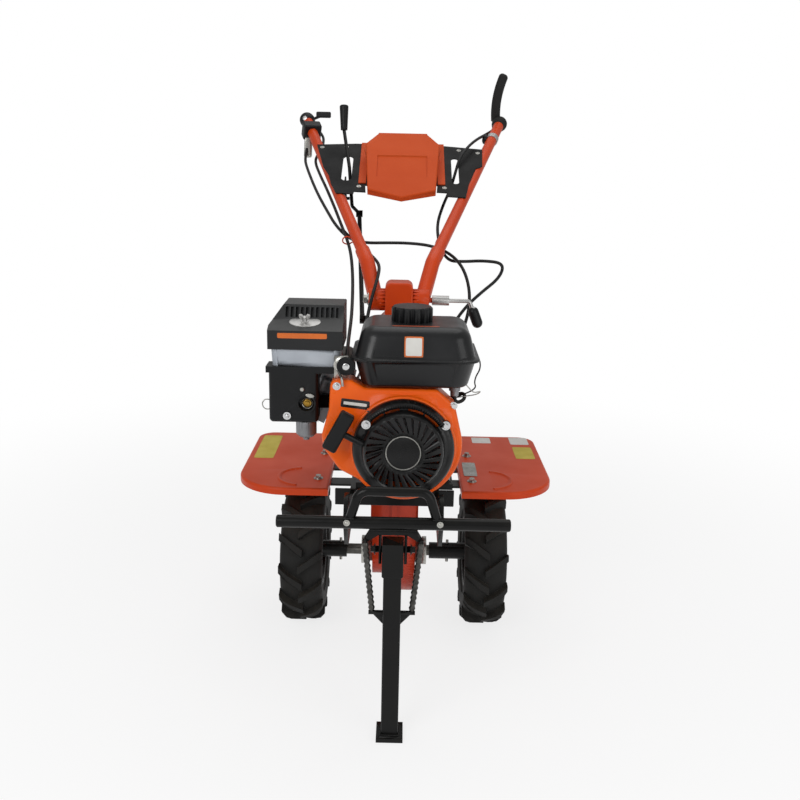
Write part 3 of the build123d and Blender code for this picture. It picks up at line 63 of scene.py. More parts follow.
# Seating rays start this far outside the point they aim at, in metres
RAY_REACH = 0.8
# Edges over these angles stay sharp
SMOOTH_DEG = 34.0
TUBE_SMOOTH_DEG = 60.0
TYRE_SMOOTH_DEG = 40.0
# Roundness of a tube's section, and order and steps of the curve it follows
TUBE_STEPS = 4
CURVE_ORDER = 3
CURVE_STEPS = 8
# A fastener's washer, flange and heads as shares of its width across flats
WASHER_REACH, WASHER_THICK = 0.95, 0.12
FLANGE_REACH, FLANGE_THICK = 0.72, 0.14
HEX_HIGH, PAN_REACH = 0.5, 0.55
# How flat a pan head is, how far a disc's rim is bevelled, and how many sides a disc has
PAN_FLAT = 0.6
RIM_SOFT = 0.2
DISC_SIDES = 28
# Foot of the slotted panel's plane and the way up along it
SLOPE_ORIGIN = Vector((0.0, -45.5, 818.0))
SLOPE_UP = Vector((0.0, 0.8745, 0.485))
# Spans of noise, of facing up and of edge sharpness that become tone, gloss, dust (on the cleaner lid a
# painted sheen) and wear
TONE_SPAN = (0.32, 0.68)
GLOSS_SPAN = (0.3, 0.7)
DUST_AND_SHEEN_SPAN = (0.35, 1.0)
EDGE_SPAN = (0.97, 0.8)
HOLE_SPAN = (0.2, 0.34)
# Width, detail and strength values that all finishes share
WEAR_WIDTH = 2.2
PATCH_DETAIL = 4.0
GRAIN_DETAIL = 2.0
BEVEL_SAMPLES = 4
BUMP_STRENGTH = 0.6
COAT_ROUGHNESS = 0.12
WHITE = (1.0, 1.0, 1.0, 1.0)


class Way(Enum):
    """Directions that a fastener or a patch looks towards."""

    FRONT = (0.0, -1.0, 0.0)
    BACK = (0.0, 1.0, 0.0)
    LEFT = (-1.0, 0.0, 0.0)
    RIGHT = (1.0, 0.0, 0.0)
    UP = (0.0, 0.0, 1.0)
    DOWN = (0.0, 0.0, -1.0)
    SLOPE = (0.0, -0.485, 0.8745)


class Head(Enum):
    """Kinds of fastener head."""

    FLANGE = "flange"
    ROUND = "round"


def linear(code: str) -> tuple[float, float, float, float]:
    """Turns an sRGB hex colour into linear RGBA.

    Args:
        code: six hex digits, with or without a leading hash.

    Returns:
        The linear colour with an alpha of one.
    """
    digits = code.lstrip("#")
    values = [int(digits[i:i + 2], 16) / 255 for i in (0, 2, 4)]
    curve = [v / 12.92 if v <= 0.04045 else ((v + 0.055) / 1.055) ** 2.4 for v in values]
    return curve[0], curve[1], curve[2], 1.0


def add_node(tree: NodeTree, kind: str, inputs: dict | None = None, **settings) -> Node:
    """Adds a node with its settings, socket values and links.

    Args:
        tree: the node tree.
        kind: the node's type name.
        inputs: socket name or number to a value, or to an output socket that is linked.
        settings: attributes of the node.

    Returns:
        The new node.
    """
    node = tree.nodes.new(kind)
    for key, value in settings.items():
        setattr(node, key, value)
    for key, value in (inputs or {}).items():
        if isinstance(value, NodeSocket):
            tree.links.new(value, node.inputs[key])
        else:
            node.inputs[key].default_value = value
    return node


def ranged(
    tree: NodeTree, value: NodeSocket, span: tuple[float, float], to: tuple[float, float] = (0.0, 1.0),
    **settings,
) -> NodeSocket:
    """Maps a span of values onto another.

    Args:
        tree: the node tree.
        value: the socket to map.
        span: the two values that go in.
        to: what they become.
        settings: attributes of the node.

    Returns:
        The mapped socket.
    """
    inputs = {"Value": value, "From Min": span[0], "From Max": span[1], "To Min": to[0], "To Max": to[1]}
    return add_node(tree, "ShaderNodeMapRange", inputs, **settings).outputs["Result"]


def joined(
    tree: NodeTree, operation: str, first: NodeSocket, second: NodeSocket, clamp: bool = False,
) -> NodeSocket:
    """Joins two value sockets by a sum or a product.

    Args:
        tree: the node tree.
        operation: the maths node's operation.
        first: one socket.
        second: the other socket.
        clamp: whether the result stays between zero and one.

    Returns:
        The result's socket.
    """
    inputs = {0: first, 1: second}
    return add_node(tree, "ShaderNodeMath", inputs, operation=operation, use_clamp=clamp).outputs[0]


def mixed(tree: NodeTree, share: NodeSocket, low: NodeSocket | tuple, high: tuple) -> NodeSocket:
    """Mixes two colours.

    Args:
        tree: the node tree.
        share: the socket that says how much of the second colour shows.
        low: the first colour or its socket.
        high: the second colour.

    Returns:
        The mixed colour's socket.
    """
    return add_node(tree, "ShaderNodeMix", {"Factor": share, 6: low, 7: high}, data_type="RGBA").outputs[2]


@dataclass(frozen=True)
class Finish:
    """A surface with colour patches, a fine grain, softened edges, and dust, painted sheen or wear where it
    has them.
    """

    name: str
    colour: str
    shade: str
    roughness: float
    swing: float = 0.08
    metallic: float = 0.0
    coat: float = 0.0
    specular: float = 0.5
    patch_mm: float = 60.0
    grain_mm: float = 1.2
    grain_deep_mm: float = 0.05
    edge_mm: float = 0.4
    # Colour laid on upward faces: dust, and on the cleaner lid a painted sheen where the light falls
    dust_and_sheen: str = ""
    dust_and_sheen_share: float = 0.0
    wear: str = ""
    wear_share: float = 0.0
    transmission: float = 0.0

    def material(self) -> Material:
        """Gives the material, made on first use."""
        found = bpy.data.materials.get(self.name)
        return found or self._build()

    def _build(self) -> Material:
        """Builds the node material.

        Returns:
            The new material.
        """
        made = bpy.data.materials.new(self.name)
        made.use_nodes = True
        tree = made.node_tree
        shader = tree.nodes["Principled BSDF"]
        patch = self._noise(tree, self.patch_mm, PATCH_DETAIL)
        grain = self._noise(tree, self.grain_mm, GRAIN_DETAIL)
        tone = mixed(tree, ranged(tree, patch, TONE_SPAN), linear(self.colour), linear(self.shade))
        if self.dust_and_sheen:
            tone = self._lay_dust_and_sheen(tree, tone, patch)
        if self.wear:
            tone = self._worn(tree, tone, grain, patch)
        gloss = ranged(tree, patch, GLOSS_SPAN, (self.roughness - self.swing, self.roughness + self.swing))
        soft = add_node(tree, "ShaderNodeBevel", {"Radius": self.edge_mm * MM}, samples=BEVEL_SAMPLES)
        bump = add_node(
            tree, "ShaderNodeBump",
            {
                "Height": grain, "Distance": self.grain_deep_mm * MM, "Strength": BUMP_STRENGTH,
                "Normal": soft.outputs["Normal"],
            },
        )
        tree.links.new(tone, shader.inputs["Base Color"])
        tree.links.new(gloss, shader.inputs["Roughness"])
        tree.links.new(bump.outputs["Normal"], shader.inputs["Normal"])
        shader.inputs["Metallic"].default_value = self.metallic
        shader.inputs["Specular IOR Level"].default_value = self.specular
        shader.inputs["Coat Weight"].default_value = self.coat
        shader.inputs["Coat Roughness"].default_value = COAT_ROUGHNESS
        shader.inputs["Transmission Weight"].default_value = self.transmission
        return made

    @staticmethod
    def _noise(tree: NodeTree, size_mm: float, detail: float) -> NodeSocket:
        """Gives noise of one size on the piece's own coordinates.

        Args:
            tree: the node tree.
            size_mm: the size of its spots.
            detail: how fine it breaks up.

        Returns:
            The noise's value socket.
        """
        place = add_node(tree, "ShaderNodeTexCoord").outputs["Object"]
        inputs = {"Vector": place, "Scale": 1 / (size_mm * MM), "Detail": detail}
        return add_node(tree, "ShaderNodeTexNoise", inputs).outputs["Fac"]

    def _lay_dust_and_sheen(self, tree: NodeTree, tone: NodeSocket, patch: NodeSocket) -> NodeSocket:
        """Lays dust on what faces up, which on the cleaner lid is a painted sheen where the light falls.

        Args:
            tree: the node tree.
            tone: the colour below the dust and sheen.
            patch: the broad noise that breaks the dust and sheen up.

        Returns:
            The colour socket with dust and sheen on it.
        """
        # Grey on upward faces: dust, and on the cleaner lid a painted sheen
        normal = add_node(tree, "ShaderNodeNewGeometry").outputs["Normal"]
        up = add_node(tree, "ShaderNodeSeparateXYZ", {"Vector": normal}).outputs["Z"]
        facing = ranged(tree, up, DUST_AND_SHEEN_SPAN, (0.0, self.dust_and_sheen_share))
        return mixed(tree, joined(tree, "MULTIPLY", facing, patch, True), tone, linear(self.dust_and_sheen))

    def _worn(self, tree: NodeTree, tone: NodeSocket, grain: NodeSocket, patch: NodeSocket) -> NodeSocket:
        """Rubs the paint through on sharp edges.

        Args:
            tree: the node tree.
            tone: the paint's colour socket.
            grain: the fine noise.
            patch: the broad noise.

        Returns:
            The colour socket with worn edges.
        """
        flat = add_node(tree, "ShaderNodeNewGeometry").outputs["Normal"]
        reach = {"Radius": WEAR_WIDTH * self.edge_mm * MM}
        wide = add_node(tree, "ShaderNodeBevel", reach, samples=BEVEL_SAMPLES)
        both = {0: flat, 1: wide.outputs["Normal"]}
        same = add_node(tree, "ShaderNodeVectorMath", both, operation="DOT_PRODUCT").outputs["Value"]
        edge = ranged(tree, same, EDGE_SPAN, (0.0, self.wear_share))
        holes = ranged(tree, joined(tree, "MULTIPLY", grain, patch), HOLE_SPAN)
        return mixed(tree, joined(tree, "MULTIPLY", edge, holes, True), tone, linear(self.wear))


def vinyl(tint: str, colour: str, shade: str, roughness: float) -> Finish:
    """Gives a plain printed film, smooth and slightly glossy.

    Args:
        tint: the film's colour in words.
        colour: its main colour.
        shade: its second colour.
        roughness: how dull it is.

    Returns:
        The finish.
    """
    return Finish(f"vinyl_{tint}", colour, shade, roughness, patch_mm=40, grain_mm=0.8, grain_deep_mm=0.01)


# Powder coat on steel tube and sheet: even red orange, slight orange peel, a little dust on flat tops
SHEET_ORANGE = Finish(
    "powder_coat_orange", "CE4312", "C23B0E", 0.38, specular=0.2, coat=0.05, patch_mm=120, grain_mm=2.2,
    grain_deep_mm=0.05, edge_mm=0.5, dust_and_sheen="C07850", dust_and_sheen_share=0.06,
)
# Moulded orange cover: even and rather dull, with a fine spark-eroded skin
MOULDED_ORANGE = Finish(
    "moulded_abs_orange", "C64C1A", "BE4415", 0.55, specular=0.12, patch_mm=140, grain_mm=1.4,
    grain_deep_mm=0.06, edge_mm=0.8, dust_and_sheen="C08060", dust_and_sheen_share=0.08,
)
# Brighter stove enamel on the pressed fan housing
HOUSING_ORANGE = Finish(
    "enamel_bright_orange", "F0620A", "E65907", 0.32, specular=0.25, coat=0.1, patch_mm=90, grain_mm=2.0,
    grain_deep_mm=0.03, edge_mm=0.6, dust_and_sheen="E09A68", dust_and_sheen_share=0.05,
)
# Paint brushed over a rough iron casting, rubbed and dusty
CASE_ORANGE = Finish(
    "casting_paint_orange", "B83414", "A52C10", 0.44, specular=0.35, coat=0.08, patch_mm=40, grain_mm=3.0,
    grain_deep_mm=0.3, edge_mm=1.0, dust_and_sheen="7C5A48", dust_and_sheen_share=0.25, wear="5E4238", wear_share=0.4,
)
# Gloss black enamel on welded steel, rubbed at its edges
FRAME_BLACK = Finish(
    "enamel_gloss_black", "080808", "0E0E0D", 0.32, specular=0.18, coat=0.05, patch_mm=45, grain_mm=2.6,
    grain_deep_mm=0.1, edge_mm=0.7, dust_and_sheen="4A463F", dust_and_sheen_share=0.12, wear="4E4C48", wear_share=0.4,
)
# Thin black powder coat on the slotted panel, without wear
PANEL_BLACK = Finish(
    "powder_coat_black", "080808", "0D0D0D", 0.5, specular=0.15, patch_mm=60, grain_mm=1.6,
    grain_deep_mm=0.05, edge_mm=0.3,
)
# Satin black tank enamel over a pressed steel shell
TANK_BLACK = Finish(
    "enamel_satin_black", "0D0E10", "131416", 0.34, specular=0.35, coat=0.1, patch_mm=110, grain_mm=1.6,
    grain_deep_mm=0.02, edge_mm=0.8, dust_and_sheen="5A5855", dust_and_sheen_share=0.08,
)
# Moulded black plastic with a fine spark-eroded grain
MOULDED_BLACK = Finish(
    "moulded_abs_black", "0A0B0C", "101113", 0.42, specular=0.26, patch_mm=70, grain_mm=1.1,
    grain_deep_mm=0.08, edge_mm=0.5, dust_and_sheen="6A6864", dust_and_sheen_share=0.12,
)
# Textured cleaner lid, with a painted grey sheen on its upward faces where the light rakes it
LID_BLACK = Finish(
    "moulded_pp_black", "111213", "1A1B1D", 0.48, specular=0.35, patch_mm=50, grain_mm=1.4,
    grain_deep_mm=0.12, edge_mm=0.5, dust_and_sheen="8A8A88", dust_and_sheen_share=0.35,
)
# Moulded rubber, dull with a bloom
RUBBER_BLACK = Finish(
    "moulded_rubber", "121211", "1C1B1A", 0.66, specular=0.3, patch_mm=35, grain_mm=2.2, grain_deep_mm=0.22,
    edge_mm=0.8, dust_and_sheen="504A42", dust_and_sheen_share=0.2,
)
# Tyre rubber with dry soil in the grain
TYRE_RUBBER = Finish(
    "lug_tyre_rubber", "151514", "201F1D", 0.72, specular=0.3, patch_mm=28, grain_mm=2.8, grain_deep_mm=0.3,
    edge_mm=1.0, dust_and_sheen="5E5547", dust_and_sheen_share=0.3, wear="2E2C29", wear_share=0.6,
)
# Bright zinc plate with a faint yellow cast
ZINC = Finish(
    "zinc_plate", "B9B8B2", "9C9B96", 0.34, metallic=1.0, patch_mm=14, grain_mm=0.9, grain_deep_mm=0.03,
    edge_mm=0.3,
)
# Hard chrome, almost a mirror
CHROME = Finish(
    "chrome_plate", "CFCFCF", "C6C7C8", 0.16, swing=0.02, metallic=1.0, patch_mm=60, grain_mm=1.0,
    grain_deep_mm=0.002, edge_mm=0.3,
)
# Satin chrome on the lock sleeve and the small plates, softly brushed
SATIN_CHROME = Finish(
    "satin_chrome", "BDBCBA", "B2B1AF", 0.36, swing=0.03, metallic=0.9, patch_mm=80, grain_mm=1.2,
    grain_deep_mm=0.01, edge_mm=0.3,
)
# Sand cast aluminium, matt with a coarse skin
CAST = Finish(
    "sand_cast_aluminium", "8E8F92", "838486", 0.5, swing=0.05, metallic=0.85, patch_mm=22, grain_mm=1.8,
    grain_deep_mm=0.16, edge_mm=0.6, dust_and_sheen="5E5A54", dust_and_sheen_share=0.2,
)
# Oiled spring steel
SPRING_STEEL = Finish(
    "oiled_spring_steel", "5B5A57", "3A3936", 0.38, metallic=0.9, patch_mm=12, grain_mm=0.9,
    grain_deep_mm=0.03, edge_mm=0.3,
)
# Bare axle steel, darkened by oil
DARK_STEEL = Finish(
    "oiled_axle_steel", "6A6864", "4C4A47", 0.42, metallic=0.9, patch_mm=25, grain_mm=1.0,
    grain_deep_mm=0.03, edge_mm=0.3,
)
# Polished black starter cover
GLOSS_BLACK = Finish(
    "moulded_pa_black", "0A0A0A", "0F0F10", 0.27, swing=0.05, specular=0.34, patch_mm=80, grain_mm=1.1,
    grain_deep_mm=0.03, edge_mm=0.6, dust_and_sheen="5A5754", dust_and_sheen_share=0.05,
)
# Smoky see-through polypropylene cup
SMOKY_CUP = Finish(
    "smoky_polypropylene", "BCC2CA", "ACB2BA", 0.42, patch_mm=50, grain_mm=1.4, grain_deep_mm=0.05,
    edge_mm=0.4, transmission=0.15,
)
# Extruded cable sheath
SHEATH = Finish(
    "extruded_pvc_sheath", "0C0C0C", "131313", 0.45, specular=0.3, patch_mm=30, grain_mm=0.8,
    grain_deep_mm=0.02, edge_mm=0.2,
)
# Hot exhaust sheet, browned
EXHAUST = Finish(
    "exhaust_sheet", "242220", "38332D", 0.55, metallic=0.5, patch_mm=30, grain_mm=1.4, grain_deep_mm=0.08,
    edge_mm=0.6, dust_and_sheen="6B5F52", dust_and_sheen_share=0.2,
)
# Printed vinyl film in plain colours
VINYL_WHITE = vinyl("white", "DAD9D4", "CFCDC7", 0.4)
VINYL_YELLOW = vinyl("yellow", "C9B62C", "BAA624", 0.4)
VINYL_ORANGE = vinyl("orange", "D4681C", "C75F18", 0.42)
VINYL_RED = vinyl("red_orange", "B4502E", "A84828", 0.42)
VINYL_BLACK = vinyl("black", "0A0A0B", "101011", 0.35)
# Turned brass
BRASS = Finish(
    "turned_brass", "B08A3E", "98752F", 0.3, metallic=1.0, patch_mm=8, grain_mm=0.6, grain_deep_mm=0.01,
    edge_mm=0.3,
)


def body_of(node: str) -> str:
    """Gives the CAD body that a node rides on."""
    bodies = FRAME["record"]["behaviour"]["bodies"]
    return next(name for name, members in bodies.items() if node in members)


def merged_copy(node: str) -> BMesh:
    """Copies a CAD node's triangles into a bmesh and merges them.

    Args:
        node: the CAD node's name.

    Returns:
        A closed bmesh of the node.
    """
    form = bmesh.new()
    form.from_mesh(FRAME["nodes"][node].data)
    bmesh.ops.remove_doubles(form, verts=form.verts, dist=CAD_MERGE_GAP)
    bmesh.ops.dissolve_degenerate(form, edges=form.edges, dist=CAD_MERGE_GAP)
    return form


def publish(form: BMesh, name: str, finishes: list[Finish], smooth_deg: float = SMOOTH_DEG) -> Object:
    """Turns a bmesh into an object with its materials, smooth up to an angle.

    Args:
        form: the bmesh, which is freed.
        name: the piece's name.
        finishes: one finish for each material index.
        smooth_deg: edges over this angle stay sharp.

    Returns:
        The new object, in the scene.
    """
    mesh = bpy.data.meshes.new(name)
    form.to_mesh(mesh)
    form.free()
    for finish in finishes:
        mesh.materials.append(finish.material())
    mesh.shade_smooth()
    mesh.set_sharp_from_angle(angle=radians(smooth_deg))
    piece = bpy.data.objects.new(name, mesh)
    bpy.context.scene.collection.objects.link(piece)
    even = piece.modifiers.new("even_shading", "WEIGHTED_NORMAL")
    even.mode, even.weight, even.keep_sharp = "FACE_AREA", 60, True
    return piece


def paint_boxes(form: BMesh, boxes: list[tuple]) -> None:
    """Gives faces inside boxes another material index.

    Args:
        form: the bmesh to paint.
        boxes: rows of index, lowest corner and highest corner in millimetres.
    """
    for index, low, high in boxes:
        for face in form.faces:
            middle = face.calc_center_median() / MM
            if all(low[i] <= middle[i] <= high[i] for i in range(3)):
                face.material_index = index


def dress(node: str, finish: Finish, extra: list[tuple] = (), smooth_deg: float = SMOOTH_DEG) -> None:
    """Makes a smooth-shaded copy of a CAD node in its finish, which stands for the node.

    Args:
        node: the CAD node's name.
        finish: the main finish.
        extra: rows of finish, lowest corner and highest corner for faces of another finish.
        smooth_deg: edges over this angle stay sharp.
    """
    form = merged_copy(node)
    paint_boxes(form, [(i + 1, low, high) for i, (_, low, high) in enumerate(extra)])
    piece = publish(form, f"{node}_dressed", [finish, *(row[0] for row in extra)], smooth_deg)
    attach(piece, body_of(node))
    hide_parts(node)
    LOG.info("dressed %s", node)


def settle(piece: Object, body: str) -> None:
    """Makes a piece ride on a CAD body.

    Args:
        piece: the piece.
        body: the CAD body that carries it.
    """
    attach(piece, body)


def soften(form: BMesh, edges: list, offset: float, segments: int = 2) -> None:
    """Bevels edges of a bmesh.

    Args:
        form: the bmesh.
        edges: the edges to bevel.
        offset: the bevel's width in metres.
        segments: how many steps round it.
    """
    bmesh.ops.bevel(
        form, geom=edges, offset=offset, segments=segments, profile=0.5, affect="EDGES", material=-1,
        clamp_overlap=True,
    )


@lru_cache(maxsize=None)
def skin(node: str) -> BVHTree:
    """Gives a CAD node's surface for rays, made on first use."""
    form = bmesh.new()
    form.from_mesh(FRAME["nodes"][node].data)
    tree = BVHTree.FromBMesh(form)
    form.free()
    return tree


def surface(node: str, start: tuple, way: Way) -> tuple[Vector, Vector]:
    """Finds where a ray from outside meets a CAD node, and the way that the surface there faces.

    Args:
        node: the CAD node that carries the piece.
        start: a point on the ray, in millimetres.
        way: the direction that the ray comes from.

    Returns:
        The point in metres and the surface's unit normal.
    """
    out = Vector(way.value)
    hit, normal = skin(node).ray_cast(Vector(start) * MM + out * RAY_REACH, -out)[:2]
    if hit is None:
        LOG.warning("no seat on %s at %s", node, start)
        return Vector(start) * MM, out
    return hit, normal


def towards(point: Vector, out: Vector) -> Matrix:
    """Places a piece's local Z along a direction at a point."""
    return Matrix.Translation(point) @ out.to_track_quat("Z", "Y").to_matrix().to_4x4()


@dataclass(frozen=True)
class Fastener:
    """A bolt, nut or screw seated on a node."""

    node: str
    start: tuple[float, float, float]
    way: Way
    flats_mm: float = 10.0
    head: Head = Head.FLANGE
    placed: bool = False

    def build(self, form: BMesh) -> None:
        """Adds the fastener's washer and head to a bmesh.

        Args:
            form: the bmesh that takes it.
        """
        point = Vector(self.start) * MM
        if not self.placed:
            point = surface(self.node, self.start, self.way)[0]
        frame = towards(point, Vector(self.way.value))
        flats = self.flats_mm * MM
        washer = WASHER_THICK * flats
        self._disc(form, frame, WASHER_REACH * flats, washer, DISC_SIDES)
        on_washer = frame @ Matrix.Translation((0, 0, washer))
        if self.head is Head.ROUND:
            self._dome(form, on_washer, PAN_REACH * flats)
            return
        flange = FLANGE_THICK * flats
        corner = flats / (2 * cos(pi / 6))
        self._disc(form, on_washer, FLANGE_REACH * flats, flange, DISC_SIDES)
        on_flange = frame @ Matrix.Translation((0, 0, washer + flange))
        self._disc(form, on_flange, corner, HEX_HIGH * flats, 6)

    @staticmethod
    def _disc(form: BMesh, frame: Matrix, radius: float, height: float, sides: int) -> None:
        """Adds a disc or prism with a bevelled top."""
        made = bmesh.ops.create_cone(
            form, cap_ends=True, segments=sides, radius1=radius, radius2=radius, depth=height,
            matrix=frame @ Matrix.Translation((0, 0, height / 2)),
        )
        top = frame @ Vector((0, 0, height))
        out = frame.to_3x3() @ Vector((0, 0, 1))
        rim = [
            edge for edge in dict.fromkeys(e for v in made["verts"] for e in v.link_edges)
            if all(abs((v.co - top).dot(out)) < 1e-6 for v in edge.verts)
        ]
        soften(form, rim, RIM_SOFT * height)

    @staticmethod
    def _dome(form: BMesh, frame: Matrix, radius: float) -> None:
        """Adds a plain pan head."""
        made = bmesh.ops.create_uvsphere(form, u_segments=20, v_segments=10, radius=radius)
        low = [v for v in made["verts"] if v.co.z < -1e-6]
        bmesh.ops.delete(form, geom=low, context="VERTS")
        kept = [v for v in made["verts"] if v.is_valid]
        bmesh.ops.transform(form, matrix=frame @ Matrix.Diagonal((1, 1, PAN_FLAT, 1)), verts=kept)


@dataclass
class FastenerSet:
    """All fasteners of one body in one finish."""

    name: str
    body: str
    finish: Finish
    slot: str
    members: list[Fastener]

    def build(self) -> None:
        """Builds the set as one piece."""
        form = bmesh.new()
        for member in self.members:
            member.build(form)
        piece = publish(form, self.name, [self.finish])
        settle(piece, self.body)
        LOG.info("fasteners %s: %d", self.name, len(self.members))


def spun(outline: tuple, place: Matrix, steps: int = 40) -> BMesh:
    """Spins an outline about its axis and puts it in place.

    Args:
        outline: rows of radius and height in millimetres, closed where it doesn't start on the axis.
        place: where the axis, its local Z, goes.
        steps: how many steps make the turn.

    Returns:
        The closed bmesh.
    """
    form = bmesh.new()
    verts = [form.verts.new(Vector((radius, 0, height)) * MM) for radius, height in outline]
    pairs = list(zip(verts, verts[1:]))
    if outline[0][0] > 0:
        pairs.append((verts[-1], verts[0]))
    edges = [form.edges.new(pair) for pair in pairs]
    bmesh.ops.spin(
        form, geom=verts + edges, cent=(0, 0, 0), axis=(0, 0, 1), angle=2 * pi, steps=steps, use_merge=True,
    )
    bmesh.ops.remove_doubles(form, verts=form.verts, dist=MERGE_GAP)
    bmesh.ops.recalc_face_normals(form, faces=form.faces)
    bmesh.ops.transform(form, matrix=place, verts=form.verts)
    return form


@dataclass(frozen=True)
class Turned:
    """A small turned piece: an outline of radius and height, spun and seated square on a surface."""

    name: str
    node: str
    start: tuple[float, float, float]
    way: Way
    outline: tuple[tuple[float, float], ...]
    finish: Finish
    slot: str
    stretch: tuple[float, float] = (1.0, 1.0)
    turn_deg: float = 0.0
    steps: int = 40

    def build(self) -> None:
        """Builds the piece and makes it ride with its carrier."""
        point, normal = surface(self.node, self.start, self.way)
        turn = Matrix.Rotation(radians(self.turn_deg), 4, "Z")
        place = towards(point, normal) @ turn @ Matrix.Diagonal((*self.stretch, 1, 1))
        form = spun(self.outline, place, self.steps)
        piece = publish(form, self.name, [self.finish])
        settle(piece, body_of(self.node))
        LOG.info("turned %s", self.name)


@dataclass(frozen=True)
class WeldSet:
    """Rippled weld beads along the straight seams of one body."""

    name: str
    body: str
    seams: list[tuple[tuple[float, float, float], tuple[float, float, float]]]
    bead_mm: float = 2.3
    ripple_mm: float = 2.7

    def build(self) -> None:
        """Builds all beads as one black piece of overlapping ripples."""
        form = bmesh.new()
        for start, end in self.seams:
            run = Vector(end) - Vector(start)
            count = max(2, round(run.length / self.ripple_mm))
            for i in range(count + 1):
                middle = (Vector(start) + run * i / count) * MM
                bmesh.ops.create_icosphere(
                    form, subdivisions=2, radius=self.bead_mm * MM, matrix=Matrix.Translation(middle)
                )
        piece = publish(form, self.name, [FRAME_BLACK])
        settle(piece, self.body)
        LOG.info("welds %s", self.name)


def smooth_line(points: list[tuple], name: str) -> Object:
    """Makes a smooth open NURBS curve through the run of control points.

    Args:
        points: control points in millimetres.
        name: the curve's name.

    Returns:
        The curve object, in the scene.
    """
    curve = bpy.data.curves.new(name, "CURVE")
    curve.dimensions = "3D"
    spline = curve.splines.new("NURBS")
    spline.points.add(len(points) - 1)
    for knot, point in zip(spline.points, points):
        knot.co = (*(Vector(point) * MM), 1.0)
    spline.order_u = CURVE_ORDER
    spline.use_endpoint_u = True
    curve.resolution_u = CURVE_STEPS
    made = bpy.data.objects.new(name, curve)
    bpy.context.scene.collection.objects.link(made)
    return made


def tube(points: list[tuple], radius_mm: float, name: str, finish: Finish) -> Object:
    """Makes a mesh tube along a smooth line.

    Args:
        points: control points in millimetres.
        radius_mm: the tube's radius.
        name: the piece's name.
        finish: its finish.

    Returns:
        The tube object.
    """
    line = smooth_line(points, f"{name}_line")
    line.data.bevel_depth = radius_mm * MM
    line.data.bevel_resolution = TUBE_STEPS
    line.data.use_fill_caps = True
    bpy.context.view_layer.update()
    mesh = bpy.data.meshes.new_from_object(line.evaluated_get(bpy.context.evaluated_depsgraph_get()))
    bpy.data.objects.remove(line)
    form = bmesh.new()
    form.from_mesh(mesh)
    bpy.data.meshes.remove(mesh)
    bmesh.ops.remove_doubles(form, verts=form.verts, dist=MERGE_GAP)
    bmesh.ops.recalc_face_normals(form, faces=form.faces)
    return publish(form, name, [finish], TUBE_SMOOTH_DEG)


@dataclass
class Patch:
    """A thin plain patch laid on a node's surface."""

    name: str
    node: str
    middle: tuple[float, float, float]
    way: Way
    size_mm: tuple[float, float]
    finish: Finish
    turn_deg: float = 0.0
    lift_mm: float = 0.35
    film_mm: float = 0.25
    cells: tuple[int, int] = (16, 10)
    corner_pull: float = 0.03
    corner_power: int = 6

    def build(self) -> None:
        """Builds the patch: a rounded grid dropped on the surface."""
        form = bmesh.new()
        bmesh.ops.create_grid(form, x_segments=self.cells[0], y_segments=self.cells[1], size=0.5)
        width, height = (value * MM for value in self.size_mm)
        self._round(form, width, height)
        out = Vector(self.way.value)
        up = Vector((0, 0, 1)) if abs(out.z) < 0.9 else Vector((0, 1, 0))
        across = up.cross(out).normalized()
        upright = out.cross(across)
        turn = Matrix.Rotation(radians(self.turn_deg), 4, "Z")
        axes = Matrix((across, upright, out)).transposed().to_4x4()
        place = Matrix.Translation(Vector(self.middle) * MM) @ axes @ turn
        bmesh.ops.transform(form, matrix=place, verts=form.verts)
        for vert in form.verts:
            hit = skin(self.node).ray_cast(vert.co + out * RAY_REACH, -out)[0]
            if hit is not None:
                vert.co = hit + out * self.lift_mm * MM
        bmesh.ops.solidify(form, geom=form.faces[:], thickness=self.film_mm * MM)
        bmesh.ops.recalc_face_normals(form, faces=form.faces)
        piece = publish(form, self.name, [self.finish])
        settle(piece, body_of(self.node))
        LOG.info("patch %s", self.name)

    def _round(self, form: BMesh, width: float, height: float) -> None:
        """Scales the grid to size and draws its corners in."""
        for vert in form.verts:
            x, y = 2 * vert.co.x, 2 * vert.co.y
            pull = 1 - self.corner_pull * abs(x) ** self.corner_power * abs(y) ** self.corner_power
            vert.co.x, vert.co.y = x * width / 2 * pull, y * height / 2 * pull


